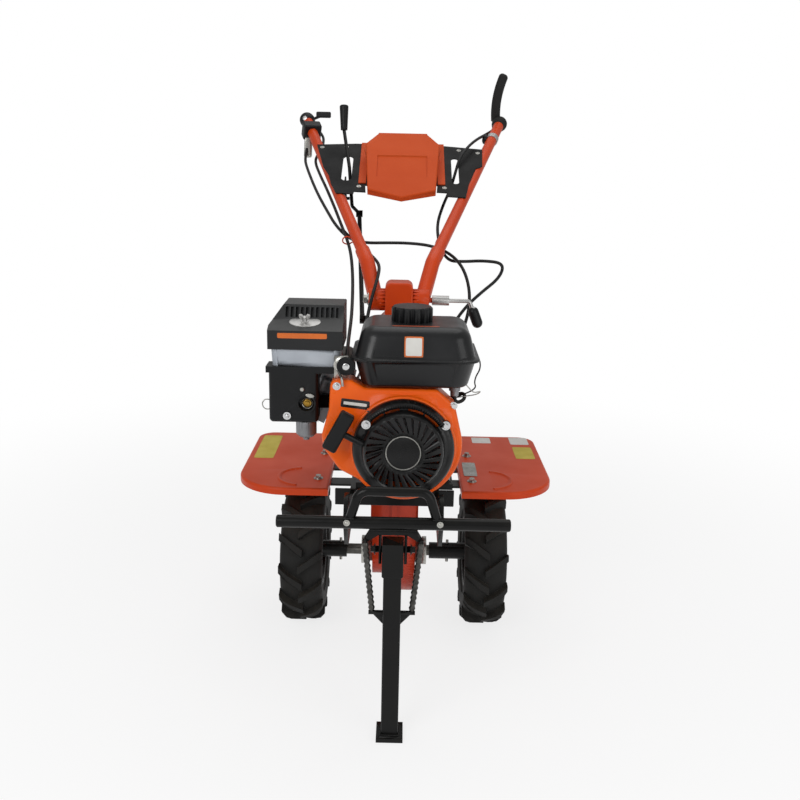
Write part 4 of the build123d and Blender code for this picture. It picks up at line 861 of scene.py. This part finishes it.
@dataclass
class LugWheel:
    """One lug tyre, spun and then set with two staggered rows of lugs."""

    side: float
    radius: float = 163.0
    lug_height: float = 16.0
    lug_width: float = 17.0
    sweep_deg: float = 38.0
    lugs: int = 13
    half: float = 47.5
    track_half: float = 204.0
    bolt_ring: float = 40.0
    pin_reach: float = 124.0
    pin_mm: float = 3.2
    outside: float = 300.0
    shoulder_drop: float = 13.0
    wrap_from: float = 0.55
    wrap_power: float = 2.2
    foot_wide: float = 1.12
    tip_narrow: float = 0.2
    sweep_share: float = 0.92
    sharp_rad: float = 0.6
    edge_mm: float = 1.3
    axle: tuple[float, float] = (-175.5, 163.0)

    def build(self) -> None:
        """Builds the tyre and dresses the rim."""
        name = "left" if self.side < 0 else "right"
        form = bmesh.new()
        self._casing(form)
        for row, hand in ((0.0, 1.0), (0.5, -1.0)):
            for i in range(self.lugs):
                self._lug(form, hand, (i + row) * 2 * pi / self.lugs)
        place = Matrix.Translation(Vector((self.side * self.track_half, *self.axle)) * MM)
        bmesh.ops.transform(form, matrix=place, verts=form.verts)
        piece = publish(form, f"lug_tyre_{name}", [TYRE_RUBBER], TYRE_SMOOTH_DEG)
        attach(piece, "wheels")
        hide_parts(f"tyre_{name}")
        dress(f"rim_{name}", FRAME_BLACK)
        self._hub(name)
        LOG.info("tyre %s", name)

    def _hub(self, name: str) -> None:
        """Adds the disc bolts and the cross pin of the hub tube.

        Args:
            name: left or right.
        """
        y, z = self.axle
        way = Way.LEFT if self.side < 0 else Way.RIGHT
        bolts = []
        for a in (0, pi / 2, pi, 3 * pi / 2):
            start = (self.side * self.outside, y + self.bolt_ring * sin(a), z + self.bolt_ring * cos(a))
            bolts.append(Fastener(f"rim_{name}", start, way, 11))
        FastenerSet(f"disc_bolts_{name}", "wheels", ZINC, "zinc_steel", bolts).build()
        x = self.side * self.pin_reach
        pin = tube([(x, y, z + rise) for rise in (27, 9, -9, -27)], self.pin_mm, f"hub_pin_{name}", ZINC)
        settle(pin, "wheels")

    def _casing(self, form: BMesh) -> None:
        """Spins the casing's closed outline about the axle."""
        crown = self.radius - self.lug_height
        right = [
            (27, 76.5), (35.6, 76.5), (35.6, 87), (38.5, 90), (40.5, 97), (41.5, 98.5), (43, 98.5), (44, 101),
            (46.6, 113), (47.2, 119), (46.2, 128), (43, 136), (36, 142), (22, crown - 0.5), (8, crown),
        ]
        inner = [(8, crown - 9), (30, crown - 14), (37, 122), (34, 100), (27, 88)]
        outline = right + [(-x, r) for x, r in reversed(right)]
        outline += [(-x, r) for x, r in reversed(inner)] + inner
        verts = [form.verts.new(Vector((x, 0, r)) * MM) for x, r in outline]
        edges = [form.edges.new((a, b)) for a, b in zip(verts, verts[1:] + verts[:1])]
        bmesh.ops.spin(
            form, geom=verts + edges, cent=(0, 0, 0), axis=(1, 0, 0), angle=2 * pi, steps=78, use_merge=True,
        )
        bmesh.ops.remove_doubles(form, verts=form.verts, dist=MERGE_GAP)
        bmesh.ops.recalc_face_normals(form, faces=form.faces)

    def _lug(self, form: BMesh, hand: float, angle: float) -> None:
        """Adds one slanted lug that wraps over the shoulder.

        Args:
            form: the tyre's bmesh.
            hand: plus or minus one, the side of the tread.
            angle: where round the tyre it sits.
        """
        lug = bmesh.new()
        bmesh.ops.create_cube(lug, size=1.0)
        long_edges = [e for e in lug.edges if abs(e.verts[0].co.x - e.verts[1].co.x) > 0.5]
        bmesh.ops.subdivide_edges(lug, edges=long_edges, cuts=4, use_grid_fill=True)
        low = self.radius - 2.0 * self.lug_height
        start = -self.lug_width / 4
        for vert in lug.verts:
            share = vert.co.x + 0.5
            x = start + share * (self.half - start)
            wrap = max(0.0, (share - self.wrap_from) / (1 - self.wrap_from))
            drop = self.shoulder_drop * wrap ** self.wrap_power
            top = self.radius - drop
            z = low + (vert.co.z + 0.5) * (top - low)
            taper = self.foot_wide - self.tip_narrow * (vert.co.z + 0.5)
            arc = vert.co.y * self.lug_width * taper + x * tan(radians(self.sweep_deg)) * self.sweep_share
            turn = arc / self.radius
            vert.co = Vector((hand * x, z * sin(turn), z * cos(turn))) * MM
        edges = [e for e in lug.edges if e.calc_face_angle(0.0) > self.sharp_rad]
        soften(lug, edges, self.edge_mm * MM)
        for vert in lug.verts:
            reach = Vector((0, vert.co.y, vert.co.z)).length
            trim = min(1.0, self.radius * MM / reach)
            limit = self.half * MM
            vert.co = Vector((max(-limit, min(limit, vert.co.x)), vert.co.y * trim, vert.co.z * trim))
        bmesh.ops.recalc_face_normals(lug, faces=lug.faces)
        bmesh.ops.rotate(lug, cent=(0, 0, 0), matrix=Matrix.Rotation(angle, 3, "X"), verts=lug.verts)
        part = bpy.data.meshes.new("lug")
        lug.to_mesh(part)
        lug.free()
        form.from_mesh(part)
        bpy.data.meshes.remove(part)


@dataclass
class Engine:
    """The engine's nodes, fasteners, plain patches, wires and hose."""

    crank: tuple[float, float] = (15.0, 520.0)
    lid_screw: tuple[float, float, float] = (-176.0, -440.0, 800.0)
    # Planes that the seating rays from the front, the left and the right are aimed through
    ahead: float = -560.0
    left: float = -300.0
    right: float = 180.0

    def build(self) -> None:
        """Dresses the nodes and adds the small pieces."""
        dress("fan_shroud", HOUSING_ORANGE)
        dress("recoil_cover", GLOSS_BLACK)
        dress("starter_grip", MOULDED_BLACK)
        dress("fuel_tank", TANK_BLACK)
        dress("fuel_cap", MOULDED_BLACK)
        dress("air_cleaner_cover", LID_BLACK, smooth_deg=22)
        dress("air_cleaner_cup", SMOKY_CUP)
        dress("intake_box", MOULDED_BLACK, smooth_deg=22)
        dress("carburettor", CAST)
        dress("crankcase", CAST, [(FRAME_BLACK, (-200, -600, 400), (200, -200, 430))])
        dress("cylinder", CAST)
        dress("muffler", EXHAUST)
        dress("governor_control", ZINC, [(MOULDED_BLACK, (-125, -505, 655), (-85, -488, 700))])
        self._fasteners()
        self._patches()
        self._turned()
        self._wing_nut()
        self._lines()

    def _turned(self) -> None:
        """Adds the small round pieces of the engine and a bright ring painted as the recoil cover's rim
        highlight.
        """
        middle = (self.crank[0], self.ahead, self.crank[1])
        choke = (-170, self.ahead, 592)
        governor = (-95, self.ahead, 671)
        plug = (self.left, -366, 572)
        for piece in (
            # A thin bright zinc ring on the recoil cover, painted as the glossy highlight on its rim
            Turned(
                "recoil_rim_painted_highlight", "recoil_cover", middle, Way.FRONT,
                ((31.0, -0.4), (33.2, -0.4), (33.0, 0.5), (31.2, 0.5)), ZINC, "zinc_steel", steps=72,
            ),
            Turned(
                "cleaner_plate", "air_cleaner_cover", self.lid_screw, Way.UP,
                ((0, -1.0), (30, -1.0), (30, 0.8), (28.5, 1.4), (8, 1.6), (7.5, 3.2), (0, 3.4)),
                SATIN_CHROME, "chrome_steel", (1.0, 0.56),
            ),
            Turned(
                "choke_bezel", "intake_box", choke, Way.FRONT,
                ((9.0, -1.0), (11.0, -1.0), (11.0, 2.6), (10.2, 3.4), (9.2, 2.6)), ZINC, "zinc_steel",
            ),
            Turned(
                "choke_nut", "intake_box", choke, Way.FRONT,
                ((0, -0.5), (7.5, -0.5), (7.5, 2.5), (5.2, 3.0), (4.6, 5.0), (2.2, 5.4), (2.0, 4.4),
                 (0, 4.4)),
                BRASS, "zinc_steel",
            ),
            Turned(
                "choke_tab", "intake_box", (-164, self.ahead, 610), Way.FRONT,
                ((0, -0.5), (5.5, -0.5), (5.5, 1.6), (4.8, 2.2), (0, 2.4)),
                ZINC, "zinc_steel", (1.5, 0.7), -12,
            ),
            Turned(
                "choke_pin", "intake_box", (-179, self.ahead, 621), Way.FRONT,
                ((0, -0.5), (4.2, -0.5), (4.2, 4.0), (3.0, 5.2), (0, 5.6)), ZINC, "zinc_steel",
            ),
            Turned(
                "governor_wheel", "governor_control", governor, Way.FRONT,
                ((0, -2.0), (5.0, -2.0), (5.0, 4.0), (13.0, 4.0), (13.5, 2.5), (17.0, 2.5), (17.6, 3.5),
                 (17.6, 7.5), (17.0, 8.5), (13.5, 8.5), (13.0, 7.0), (5.5, 7.0), (5.0, 9.5), (0, 10.0)),
                MOULDED_BLACK, "black_plastic",
            ),
            Turned(
                "governor_hub", "governor_control", governor, Way.FRONT,
                ((0, 9.0), (6.5, 9.0), (6.5, 11.5), (5.5, 12.2), (0, 12.4)), CHROME, "chrome_steel",
            ),
            Turned(
                "spark_plug", "cylinder", plug, Way.LEFT,
                ((0, -3.0), (10.5, -3.0), (10.5, 6.0), (7.0, 7.0), (6.5, 14.0), (0, 14.0)),
                ZINC, "zinc_steel", steps=6,
            ),
            Turned(
                "spark_plug_cap", "cylinder", plug, Way.LEFT,
                ((0, 8.0), (8.5, 8.0), (9.5, 10.0), (9.5, 26.0), (8.0, 31.0), (0, 33.0)),
                RUBBER_BLACK, "black_plastic",
            ),
            Turned(
                "fuel_cock", "fuel_tank", (112, -436, 600), Way.DOWN,
                ((0, -2.0), (8.0, -2.0), (8.0, 7.0), (11.0, 8.0), (11.0, 17.0), (8.5, 18.0), (8.0, 27.0),
                 (0, 28.0)),
                CAST, "cast_aluminium",
            ),
        ):
            piece.build()

    def _wing_nut(self) -> None:
        """Adds the wing nut that holds the cleaner lid."""
        point, normal = surface("air_cleaner_cover", self.lid_screw, Way.UP)
        plate, high = 3.0 * MM, 9.0 * MM
        wing_out, wing_up, wing_deg = 6.5 * MM, 9.5 * MM, 22
        frame = towards(point + normal * plate, normal)
        form = bmesh.new()
        bmesh.ops.create_cone(
            form, cap_ends=True, segments=24, radius1=5.0 * MM, radius2=3.6 * MM, depth=high,
            matrix=frame @ Matrix.Translation((0, 0, high / 2)),
        )
        for hand in (-1, 1):
            lean = Matrix.Rotation(radians(hand * wing_deg), 4, "Y")
            wing = Matrix.Translation((hand * wing_out, 0, wing_up)) @ lean
            flat = Matrix.Diagonal((0.85, 0.28, 1.1, 1))
            made = bmesh.ops.create_uvsphere(form, u_segments=20, v_segments=12, radius=5.2 * MM)
            bmesh.ops.transform(form, matrix=frame @ wing @ flat, verts=made["verts"])
        piece = publish(form, "cleaner_wing_nut", [SATIN_CHROME])
        settle(piece, "frame")

    def _lines(self) -> None:
        """Adds the fuel hose, the spark lead, the thin wires and the drain loop."""
        rows = (
            (
                "fuel_hose", RUBBER_BLACK, "black_plastic", 3.6,
                ((112, -436, 608), (112, -436, 598), (120, -428, 590), (134, -408, 592), (136, -380, 596),
                 (126, -352, 590), (108, -340, 576)),
            ),
            (
                "spark_lead", SHEATH, "cable_sheath", 3.2,
                ((-196, -366, 572), (-200, -365, 590), (-196, -364, 622), (-170, -368, 642),
                 (-130, -384, 650), (-100, -410, 650), (-82, -440, 640)),
            ),
            (
                "tank_wire", SHEATH, "cable_sheath", 1.4,
                ((150, -420, 688), (160, -418, 676), (162, -416, 656), (154, -412, 640), (152, -408, 626),
                 (156, -404, 616), (146, -400, 606), (124, -396, 596), (112, -392, 586)),
            ),
            (
                "lead_wire", ZINC, "zinc_steel", 1.1,
                ((130, -430, 632), (140, -424, 620), (150, -420, 608), (166, -416, 612), (158, -414, 604),
                 (138, -412, 600), (118, -410, 596)),
            ),
            (
                "drain_loop", ZINC, "zinc_steel", 1.1,
                ((-240, -452, 594), (-250, -453, 598), (-258, -454, 590), (-256, -454, 580),
                 (-248, -453, 575), (-240, -452, 578)),
            ),
        )
        for name, finish, slot, radius, points in rows:
            piece = tube(list(points), radius, name, finish)
            settle(piece, "frame")
            LOG.info("line %s", name)

    def _fasteners(self) -> None:
        """Adds the engine's bolts and screws."""
        front = (
            ("recoil_cover", -55, 571, 9, Head.FLANGE), ("recoil_cover", 93, 571, 9, Head.FLANGE),
            ("fan_shroud", -127, 520, 8, Head.FLANGE), ("fan_shroud", -112, 634, 8, Head.FLANGE),
            ("intake_box", -208, 569, 8, Head.ROUND), ("fan_shroud", 108, 600, 8, Head.FLANGE),
        )
        rows = []
        for node, x, z, flats, head in front:
            rows.append(Fastener(node, (x, self.ahead, z), Way.FRONT, flats, head))
        rows.append(Fastener("muffler", (-148, -200, 604), Way.BACK, 9))
        rows.append(Fastener("muffler", (self.left, -256, 604), Way.LEFT, 9))
        for y, z in ((-400, 545), (-330, 545), (-330, 610)):
            rows.append(Fastener("cylinder", (self.left, y, z), Way.LEFT, 9))
        for y, z in ((-330, 560), (-400, 560), (-330, 450), (-400, 450)):
            rows.append(Fastener("crankcase", (self.right, y, z), Way.RIGHT, 10))
        FastenerSet("engine_bolts", "frame", CHROME, "chrome_steel", rows).build()

    @staticmethod
    def _patches() -> None:
        """Adds the plain patches on the engine."""
        tank, housing = (30.5, -520, 714), (-77, -520, 600)
        lid = (-178.5, -480, 723.6)
        for patch in (
            Patch("tank_patch_edge", "fuel_tank", tank, Way.FRONT, (35, 37), VINYL_ORANGE),
            Patch("tank_patch", "fuel_tank", tank, Way.FRONT, (30, 32), VINYL_WHITE, 0.0, 0.75),
            Patch("tank_strip", "fuel_tank", (34, -470, 760), Way.UP, (88, 7), VINYL_RED),
            Patch("lid_stripe", "air_cleaner_cover", lid, Way.FRONT, (93, 10), VINYL_ORANGE),
            Patch("housing_patch", "fan_shroud", housing, Way.FRONT, (54, 17), VINYL_BLACK, -6),
            Patch("housing_strip", "fan_shroud", housing, Way.FRONT, (44, 6), VINYL_WHITE, -6, 0.75),
        ):
            patch.build()


@dataclass
class Chassis:
    """Gear case, bed, bumper, stand, fenders and column."""

    bell: tuple[float, float, float] = (15.0, -287.5, 520.0)
    bell_deep: float = 9.0
    bell_bolts: float = 86.0

    def build(self) -> None:
        """Dresses the nodes and adds fasteners and patches."""
        dress("gearbox_case", CASE_ORANGE)
        dress("axle_caps", ZINC)
        dress("hex_axle", DARK_STEEL)
        for node in (
            "engine_bed", "bumper_bar", "bumper_hoop", "stand_bracket", "stand_leg", "fender_stays",
            "rear_hitch",
        ):
            dress(node, FRAME_BLACK)
        dress("handlebar_seat", SHEET_ORANGE)
        for side in ("left", "right"):
            dress(f"fender_{side}", SHEET_ORANGE, smooth_deg=24)
        springs = merged_copy("stand_springs")
        piece = publish(springs, "stand_springs_dressed", [SPRING_STEEL], TUBE_SMOOTH_DEG)
        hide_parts("stand_springs")
        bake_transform(piece)
        self._front_plate()
        self._bell_flange()
        self._shift_arm()
        self._welds()
        self._fasteners()
        self._patches()

    def _fasteners(self) -> None:
        """Adds the chassis bolts."""
        rows = []
        for x in (-1, 1):
            side = "left" if x < 0 else "right"
            for y in (-264, -90):
                rows.append(Fastener(f"fender_{side}", (x * 168, y, 400), Way.UP, 11))
            for y, z in ((-262, 430), (-262, 560), (-215, 122), (-136, 122), (-108, 430), (-108, 240)):
                rows.append(Fastener("gearbox_case", (x * 200, y, z), Way.RIGHT if x > 0 else Way.LEFT, 12))
        for x in (-81, 81):
            rows.append(Fastener("bumper_bar", (x, -700, 437), Way.FRONT, 6, Head.ROUND))
        FastenerSet("chassis_bolts", "frame", ZINC, "zinc_steel", rows).build()
        pivot = [
            Fastener("stand_bracket", (80, -654.5, 381), Way.RIGHT, 11),
            Fastener("stand_bracket", (-80, -654.5, 381), Way.LEFT, 11),
        ]
        FastenerSet("stand_pivot_nuts", "frame", FRAME_BLACK, "black_paint", pivot).build()

    def _bell_flange(self) -> None:
        """Adds the bolted flange ring between the engine and the gear case."""
        middle = Vector(self.bell)
        deep = self.bell_deep
        ring = ((80.0, 0.0), (91.0, 0.0), (92.0, 1.0), (92.0, deep - 1.0), (91.0, deep), (80.0, deep))
        form = spun(ring, towards(middle * MM, Vector(Way.BACK.value)), 72)
        piece = publish(form, "bell_flange", [CASE_ORANGE])
        settle(piece, "frame")
        bolts = []
        for a in (0.35, 1.4, 2.45, 3.5, 4.55, 5.6):
            point = middle + Vector((self.bell_bolts * cos(a), deep, self.bell_bolts * sin(a)))
            bolts.append(Fastener("gearbox_case", tuple(point), Way.BACK, 8, placed=True))
        FastenerSet("bell_bolts", "frame", ZINC, "zinc_steel", bolts).build()

    def _shift_arm(self) -> None:
        """Adds the gear case's shift arm, which reaches up to the eye of the shift rod."""
        arm = [
            (-22, -88, 582), (-44, -80, 600), (-66, -74, 634), (-76, -71.5, 668), (-77, -71.5, 690),
            (-77, -71.5, 697),
        ]
        piece = tube(arm, 4.6, "shift_arm", FRAME_BLACK)
        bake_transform(piece)
        LOG.info("shift arm")

    def _front_plate(self) -> None:
        """Adds the upright plate along the front edge of the engine bed."""
        form = bmesh.new()
        size = Matrix.Diagonal((236 * MM, 5 * MM, 34 * MM, 1))
        place = Matrix.Translation(Vector((0, -444.0, 397)) * MM)
        bmesh.ops.create_cube(form, size=1.0, matrix=place @ size)
        soften(form, form.edges[:], 1.4 * MM, 3)
        piece = publish(form, "bed_front_plate", [FRAME_BLACK])
        settle(piece, "frame")
        LOG.info("front plate")

    def _welds(self) -> None:
        """Lays the weld beads of the bumper and of the stand."""
        frame_seams = [((-38, -665, 421.5), (38, -665, 421.5))]
        for x in (-78, 78):
            frame_seams.append(((x - 8, -671, 444), (x + 8, -671, 444)))
            frame_seams.append(((x - 8, -656, 444), (x + 8, -656, 444)))
        WeldSet("bumper_welds", "frame", frame_seams).build()
        stand_seams = [((-16, -669.6, 334.5), (16, -669.6, 334.5)), ((-16, -663, 9), (16, -663, 9))]
        for x in (-16.6, 16.6):
            stand_seams.append(((x, -667, 334.5), (x, -640, 334.5)))
            stand_seams.append(((x, -661, 9), (x, -632, 9)))
        WeldSet("stand_welds", "stand", stand_seams).build()

    def _patches(self) -> None:
        """Adds the plain patches on the fenders."""
        above = 400
        for patch in (
            Patch("fender_patch_left", "fender_left", (-308, -46, above), Way.UP, (46, 176), VINYL_YELLOW),
            Patch("fender_patch_right", "fender_right", (307, -58, above), Way.UP, (46, 88), VINYL_YELLOW),
            Patch("fender_patch_white", "fender_right", (306, 36, above), Way.UP, (46, 58), VINYL_WHITE),
            Patch("fender_patch_small", "fender_right", (212, 36, above), Way.UP, (46, 46), VINYL_WHITE),
            Patch("fender_plate", "fender_right", (168, -186, above), Way.UP, (30, 92), ZINC, 0.0, 1.2),
        ):
            patch.build()


@dataclass
class Handlebar:
    """Tubes, grips, panel, dash, levers and the control cables."""

    cable_mm: float = 3.75
    loop_mm: float = 1.6
    clamp_along: float = 588.0
    panel_clear: float = 60.0
    throttle: tuple = (
        (-259, 563.5, 1134), (-226, 526.5, 1111), (-220, 484.5, 1082), (-231, 434.5, 1056),
        (-237, 394.5, 1036), (-219, 329.5, 1006), (-192, 249.5, 968), (-164, 167.5, 922),
        (-145, 109.5, 888), (-131, 61.5, 866), (-116, 12.5, 834), (-107, -57.5, 788), (-103, -135.5, 742),
        (-101, -215.5, 712), (-101, -295.5, 692), (-99, -375.5, 680), (-97, -428.5, 674), (-97, -469, 672),
    )
    reverse: tuple = (
        (-266, 472.5, 1068), (-268, 428.5, 1042), (-255, 372.5, 1016), (-220, 264.5, 960),
        (-184, 169.5, 916), (-157, 108.5, 884), (-122, 78.5, 856), (-83, 74.5, 849), (-32, 70.5, 851),
        (21, 64.5, 852), (73, 56.5, 848), (116, 36.5, 834), (146, 2.5, 808), (161, -39.5, 769),
        (162, -79.5, 724), (148, -113.5, 680), (126, -139.5, 634), (102, -157.5, 588), (76, -165.5, 562),
        (49.4, -166.5, 560),
    )
    clutch: tuple = (
        (259, 564.5, 1133), (229, 484.5, 1116), (203, 414.5, 1104), (174, 359.5, 1083), (149, 312.5, 1052),
        (138, 286.5, 1014), (126, 264.5, 974), (106, 216.5, 936), (89, 146.5, 892), (93, 79.5, 850),
        (113, 42.5, 814), (149, 28.5, 814), (197, 24.5, 818), (246, 16.5, 814), (236, -1.5, 782),
        (190, -25.5, 748), (156, -49.5, 720), (127, -79.5, 686), (102, -105.5, 640), (80, -127.5, 590),
        (66, -135.5, 559), (49.4, -136.5, 558),
    )
    stop: tuple = (
        (-82, 30.5, 836), (-61, -13.5, 824), (-46, -57.5, 812), (-47, -103.5, 795), (-57, -147.5, 761),
        (-66, -179.5, 724), (-70, -220.5, 688), (-57, -259.5, 655), (-38, -287.5, 628), (-31, -310, 618),
    )
    stop_run: tuple = (
        (-82, 30.5, 836), (-91, 46, 844), (-103, 59, 851), (-118, 70, 860), (-130, 77, 869),
        (-137, 83, 876),
    )

    def build(self) -> None:
        """Dresses the nodes and adds cables and fasteners."""
        for side in ("left", "right"):
            dress(f"handle_tube_{side}", SHEET_ORANGE)
            dress(f"grip_{side}", RUBBER_BLACK)
        dress("control_panel", PANEL_BLACK, smooth_deg=20)
        dress("dash_cover", MOULDED_ORANGE, smooth_deg=22)
        dress("throttle_control", MOULDED_BLACK)
        dress("clutch_lever", RUBBER_BLACK)
        dress("reverse_lever", MOULDED_BLACK, [(ZINC, (-300, 440, 1030), (-200, 540, 1092))])
        dress("shift_lever", FRAME_BLACK, [(MOULDED_BLACK, (-200, 370, 1117), (-100, 420, 1200))])
        dress("lock_handle", SATIN_CHROME, [(MOULDED_BLACK, (150, -140, 670), (200, -90, 728))])
        self._cables()
        self._fasteners()
        self._clips()
        self._lever_clamp()
        dot = ((0, -0.5), (6.5, -0.5), (6.5, 1.2), (5.5, 1.8), (0, 2.0))
        Turned(
            "throttle_screw", "throttle_control", (-277, 480, 1152), Way.FRONT, dot, SATIN_CHROME,
            "zinc_steel",
        ).build()

    def _clips(self) -> None:
        """Adds the two wire loops that hold the cables beside the tubes."""
        rows = (
            (
                "cable_loop_left",
                ((-110, 45, 857), (-120, 41, 865), (-128, 40, 867), (-137, 43, 862), (-138, 47, 852),
                 (-128, 50, 847), (-120, 49, 849), (-110, 45, 856)),
            ),
            (
                "cable_loop_right",
                ((108, 62, 860), (98, 58, 868), (89, 60, 864), (84, 68, 852), (90, 75, 843), (102, 71, 848),
                 (109, 64, 858)),
            ),
        )
        for name, points in rows:
            piece = tube(list(points), self.loop_mm, name, SHEET_ORANGE)
            settle(piece, "handlebar")

    def _lever_clamp(self) -> None:
        """Adds the bright clamp band and the cable stop under the clutch lever."""
        middle, run, radius = self._tube_run("handle_tube_right", self.clamp_along)
        low = radius / MM + 0.3
        high = low + 2.3
        outline = ((low, -9.0), (high - 0.6, -9.0), (high, -8.4), (high, 8.4), (high - 0.6, 9.0), (low, 9.0))
        piece = publish(spun(outline, towards(middle, run)), "clutch_clamp_band", [SATIN_CHROME])
        settle(piece, "handlebar")
        lobe = ((0, -6.0), (10.0, -6.0), (13.0, -2.0), (13.5, 5.0), (12.0, 9.0), (8.0, 11.5), (0, 12.5))
        point = SLOPE_ORIGIN + SLOPE_UP * self.clamp_along
        Turned(
            "clutch_cable_stop", "handle_tube_right", (0, point.y, point.z), Way.LEFT, lobe, MOULDED_BLACK,
            "black_plastic",
        ).build()
        LOG.info("clutch clamp")

    @staticmethod
    def _tube_run(node: str, along: float) -> tuple[Vector, Vector, float]:
        """Measures a handle tube at a place along the slope.

        Args:
            node: the tube's node.
            along: the distance up the slope, in millimetres.

        Returns:
            The tube's middle, its unit direction and its radius there, in metres.
        """
        apart = 25.0
        middles = []
        width = 0.0
        for step in (-apart, 0.0, apart):
            point = SLOPE_ORIGIN + SLOPE_UP * (along + step)
            left = surface(node, (0, point.y, point.z), Way.LEFT)[0]
            right = surface(node, (0, point.y, point.z), Way.RIGHT)[0]
            middles.append((left + right) / 2)
            width = (right - left).length
        run = (middles[2] - middles[0]).normalized()
        return middles[1], run, width * (1 - run.x ** 2) ** 0.5 / 2

    def _cables(self) -> None:
        """Makes the four cables and the stop wire's run on the handlebar."""
        for name, route in (
            ("throttle_cable", self.throttle), ("reverse_cable", self.reverse), ("clutch_cable", self.clutch),
            ("stop_wire", self.stop),
        ):
            piece = tube(list(route), self.cable_mm, f"{name}_smooth", SHEATH)
            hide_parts(name)
            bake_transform(piece)
            LOG.info("cable %s", name)
        piece = tube(list(self.stop_run), self.cable_mm, "stop_wire_run", SHEATH)
        settle(piece, "handlebar")

    def _fasteners(self) -> None:
        """Adds bolts on the panel, the dash and the hinge."""
        rows = []
        for x, along in ((-108, 300), (-150, 500), (-215, 495), (108, 300), (150, 492), (200, 480)):
            point = SLOPE_ORIGIN + SLOPE_UP * along + Vector((x, 0, 0))
            point += Vector(Way.SLOPE.value) * self.panel_clear
            rows.append(Fastener("control_panel", tuple(point), Way.SLOPE, 6, Head.ROUND))
        rows.append(Fastener("handle_tube_left", (-67, -115.5, 742), Way.LEFT, 17, placed=True))
        FastenerSet("handlebar_bolts", "handlebar", ZINC, "zinc_steel", rows).build()


@dataclass
class Studio:
    """White studio: floor, soft lamps, world and the photograph's camera."""

    eye: tuple[float, float, float] = (0.007, -2.1215, 1.047)
    pitch_deg: float = 15.0
    roll_deg: float = 1.2
    lens_mm: float = 40.5
    sensor_mm: float = 36.0
    sight_m: float = 60.0
    floor_m: float = 14.0
    floor_colour: tuple[float, float, float, float] = (0.86, 0.86, 0.86, 1.0)
    fade_m: tuple[float, float] = (0.5, 2.2)
    fade_share: tuple[float, float] = (0.78, 1.0)
    sky_light: float = 0.45
    sky_sight: float = 1.0
    aim: tuple[float, float, float] = (0.0, -0.1, 0.55)

    def build(self) -> None:
        """Builds the whole studio."""
        self._floor()
        self._world()
        self._lamps()
        self._camera()

    def _floor(self) -> None:
        """Lays a white floor that keeps a soft shadow."""
        form = bmesh.new()
        bmesh.ops.create_grid(form, x_segments=1, y_segments=1, size=self.floor_m)
        paint = bpy.data.materials.new("studio_floor")
        paint.use_nodes = True
        tree = paint.node_tree
        tree.nodes.clear()
        ray = add_node(tree, "ShaderNodeLightPath")
        white = add_node(tree, "ShaderNodeBsdfDiffuse", {"Color": self.floor_colour})
        glow = add_node(tree, "ShaderNodeEmission", {"Color": WHITE, "Strength": 1.0})
        seen = joined(tree, "ADD", ray.outputs["Is Camera Ray"], ray.outputs["Is Glossy Ray"])
        both = joined(tree, "ADD", seen, ray.outputs["Is Transmission Ray"], True)
        place = add_node(tree, "ShaderNodeTexCoord").outputs["Object"]
        away = add_node(tree, "ShaderNodeVectorMath", {0: place}, operation="LENGTH").outputs["Value"]
        fade = ranged(tree, away, self.fade_m, self.fade_share, interpolation_type="SMOOTHSTEP")
        share = joined(tree, "MULTIPLY", both, fade)
        mix = add_node(tree, "ShaderNodeMixShader", {0: share, 1: white.outputs[0], 2: glow.outputs[0]})
        add_node(tree, "ShaderNodeOutputMaterial", {"Surface": mix.outputs[0]})
        mesh = bpy.data.meshes.new("studio_floor")
        form.to_mesh(mesh)
        form.free()
        mesh.materials.append(paint)
        floor = bpy.data.objects.new("studio_floor", mesh)
        bpy.context.scene.collection.objects.link(floor)

    def _world(self) -> None:
        """Sets a white world for what sees it straight and a dimmer one for light."""
        world = bpy.data.worlds.new("studio_world")
        bpy.context.scene.world = world
        world.use_nodes = True
        tree = world.node_tree
        tree.nodes.clear()
        ray = add_node(tree, "ShaderNodeLightPath")
        seen = joined(tree, "ADD", ray.outputs["Is Camera Ray"], ray.outputs["Is Transmission Ray"], True)
        light = add_node(tree, "ShaderNodeBackground", {"Color": WHITE, "Strength": self.sky_light})
        sight = add_node(tree, "ShaderNodeBackground", {"Color": WHITE, "Strength": self.sky_sight})
        mix = add_node(tree, "ShaderNodeMixShader", {0: seen, 1: light.outputs[0], 2: sight.outputs[0]})
        add_node(tree, "ShaderNodeOutputWorld", {"Surface": mix.outputs[0]})

    def _lamps(self) -> None:
        """Hangs a key, a fill and a top lamp."""
        rows = (
            ("key_lamp", (-1.5, -2.9, 2.0), 1.6, 36.0),
            ("fill_lamp", (1.9, -2.4, 1.2), 1.8, 18.0),
            ("top_lamp", (0.2, 0.4, 3.0), 2.2, 18.0),
        )
        for name, place, size, power in rows:
            lamp = bpy.data.lights.new(name, "AREA")
            lamp.energy, lamp.size = power, size
            hung = bpy.data.objects.new(name, lamp)
            hung.location = place
            look = Vector(self.aim) - Vector(place)
            hung.rotation_euler = look.to_track_quat("-Z", "Y").to_euler()
            bpy.context.scene.collection.objects.link(hung)

    def _camera(self) -> None:
        """Sets the camera at the photograph's place."""
        lens = bpy.data.cameras.new("photo_camera")
        lens.lens, lens.sensor_width = self.lens_mm, self.sensor_mm
        lens.clip_end = self.sight_m
        camera = bpy.data.objects.new("photo_camera", lens)
        roll = Matrix.Rotation(radians(self.roll_deg), 3, "Z")
        turn = Euler((radians(90 - self.pitch_deg), 0, 0)).to_matrix() @ roll
        camera.matrix_world = Matrix.Translation(self.eye) @ turn.to_4x4()
        bpy.context.scene.collection.objects.link(camera)
        bpy.context.scene.camera = camera


def main() -> None:
    """Builds the dressed tiller and its studio in order."""
    logging.basicConfig(level=logging.INFO)
    bpy.context.scene.view_settings.view_transform = "Standard"
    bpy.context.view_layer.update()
    for side in (-1.0, 1.0):
        LugWheel(side).build()
    Chassis().build()
    Engine().build()
    Handlebar().build()
    Studio().build()


if __name__ == "__main__":
    main()
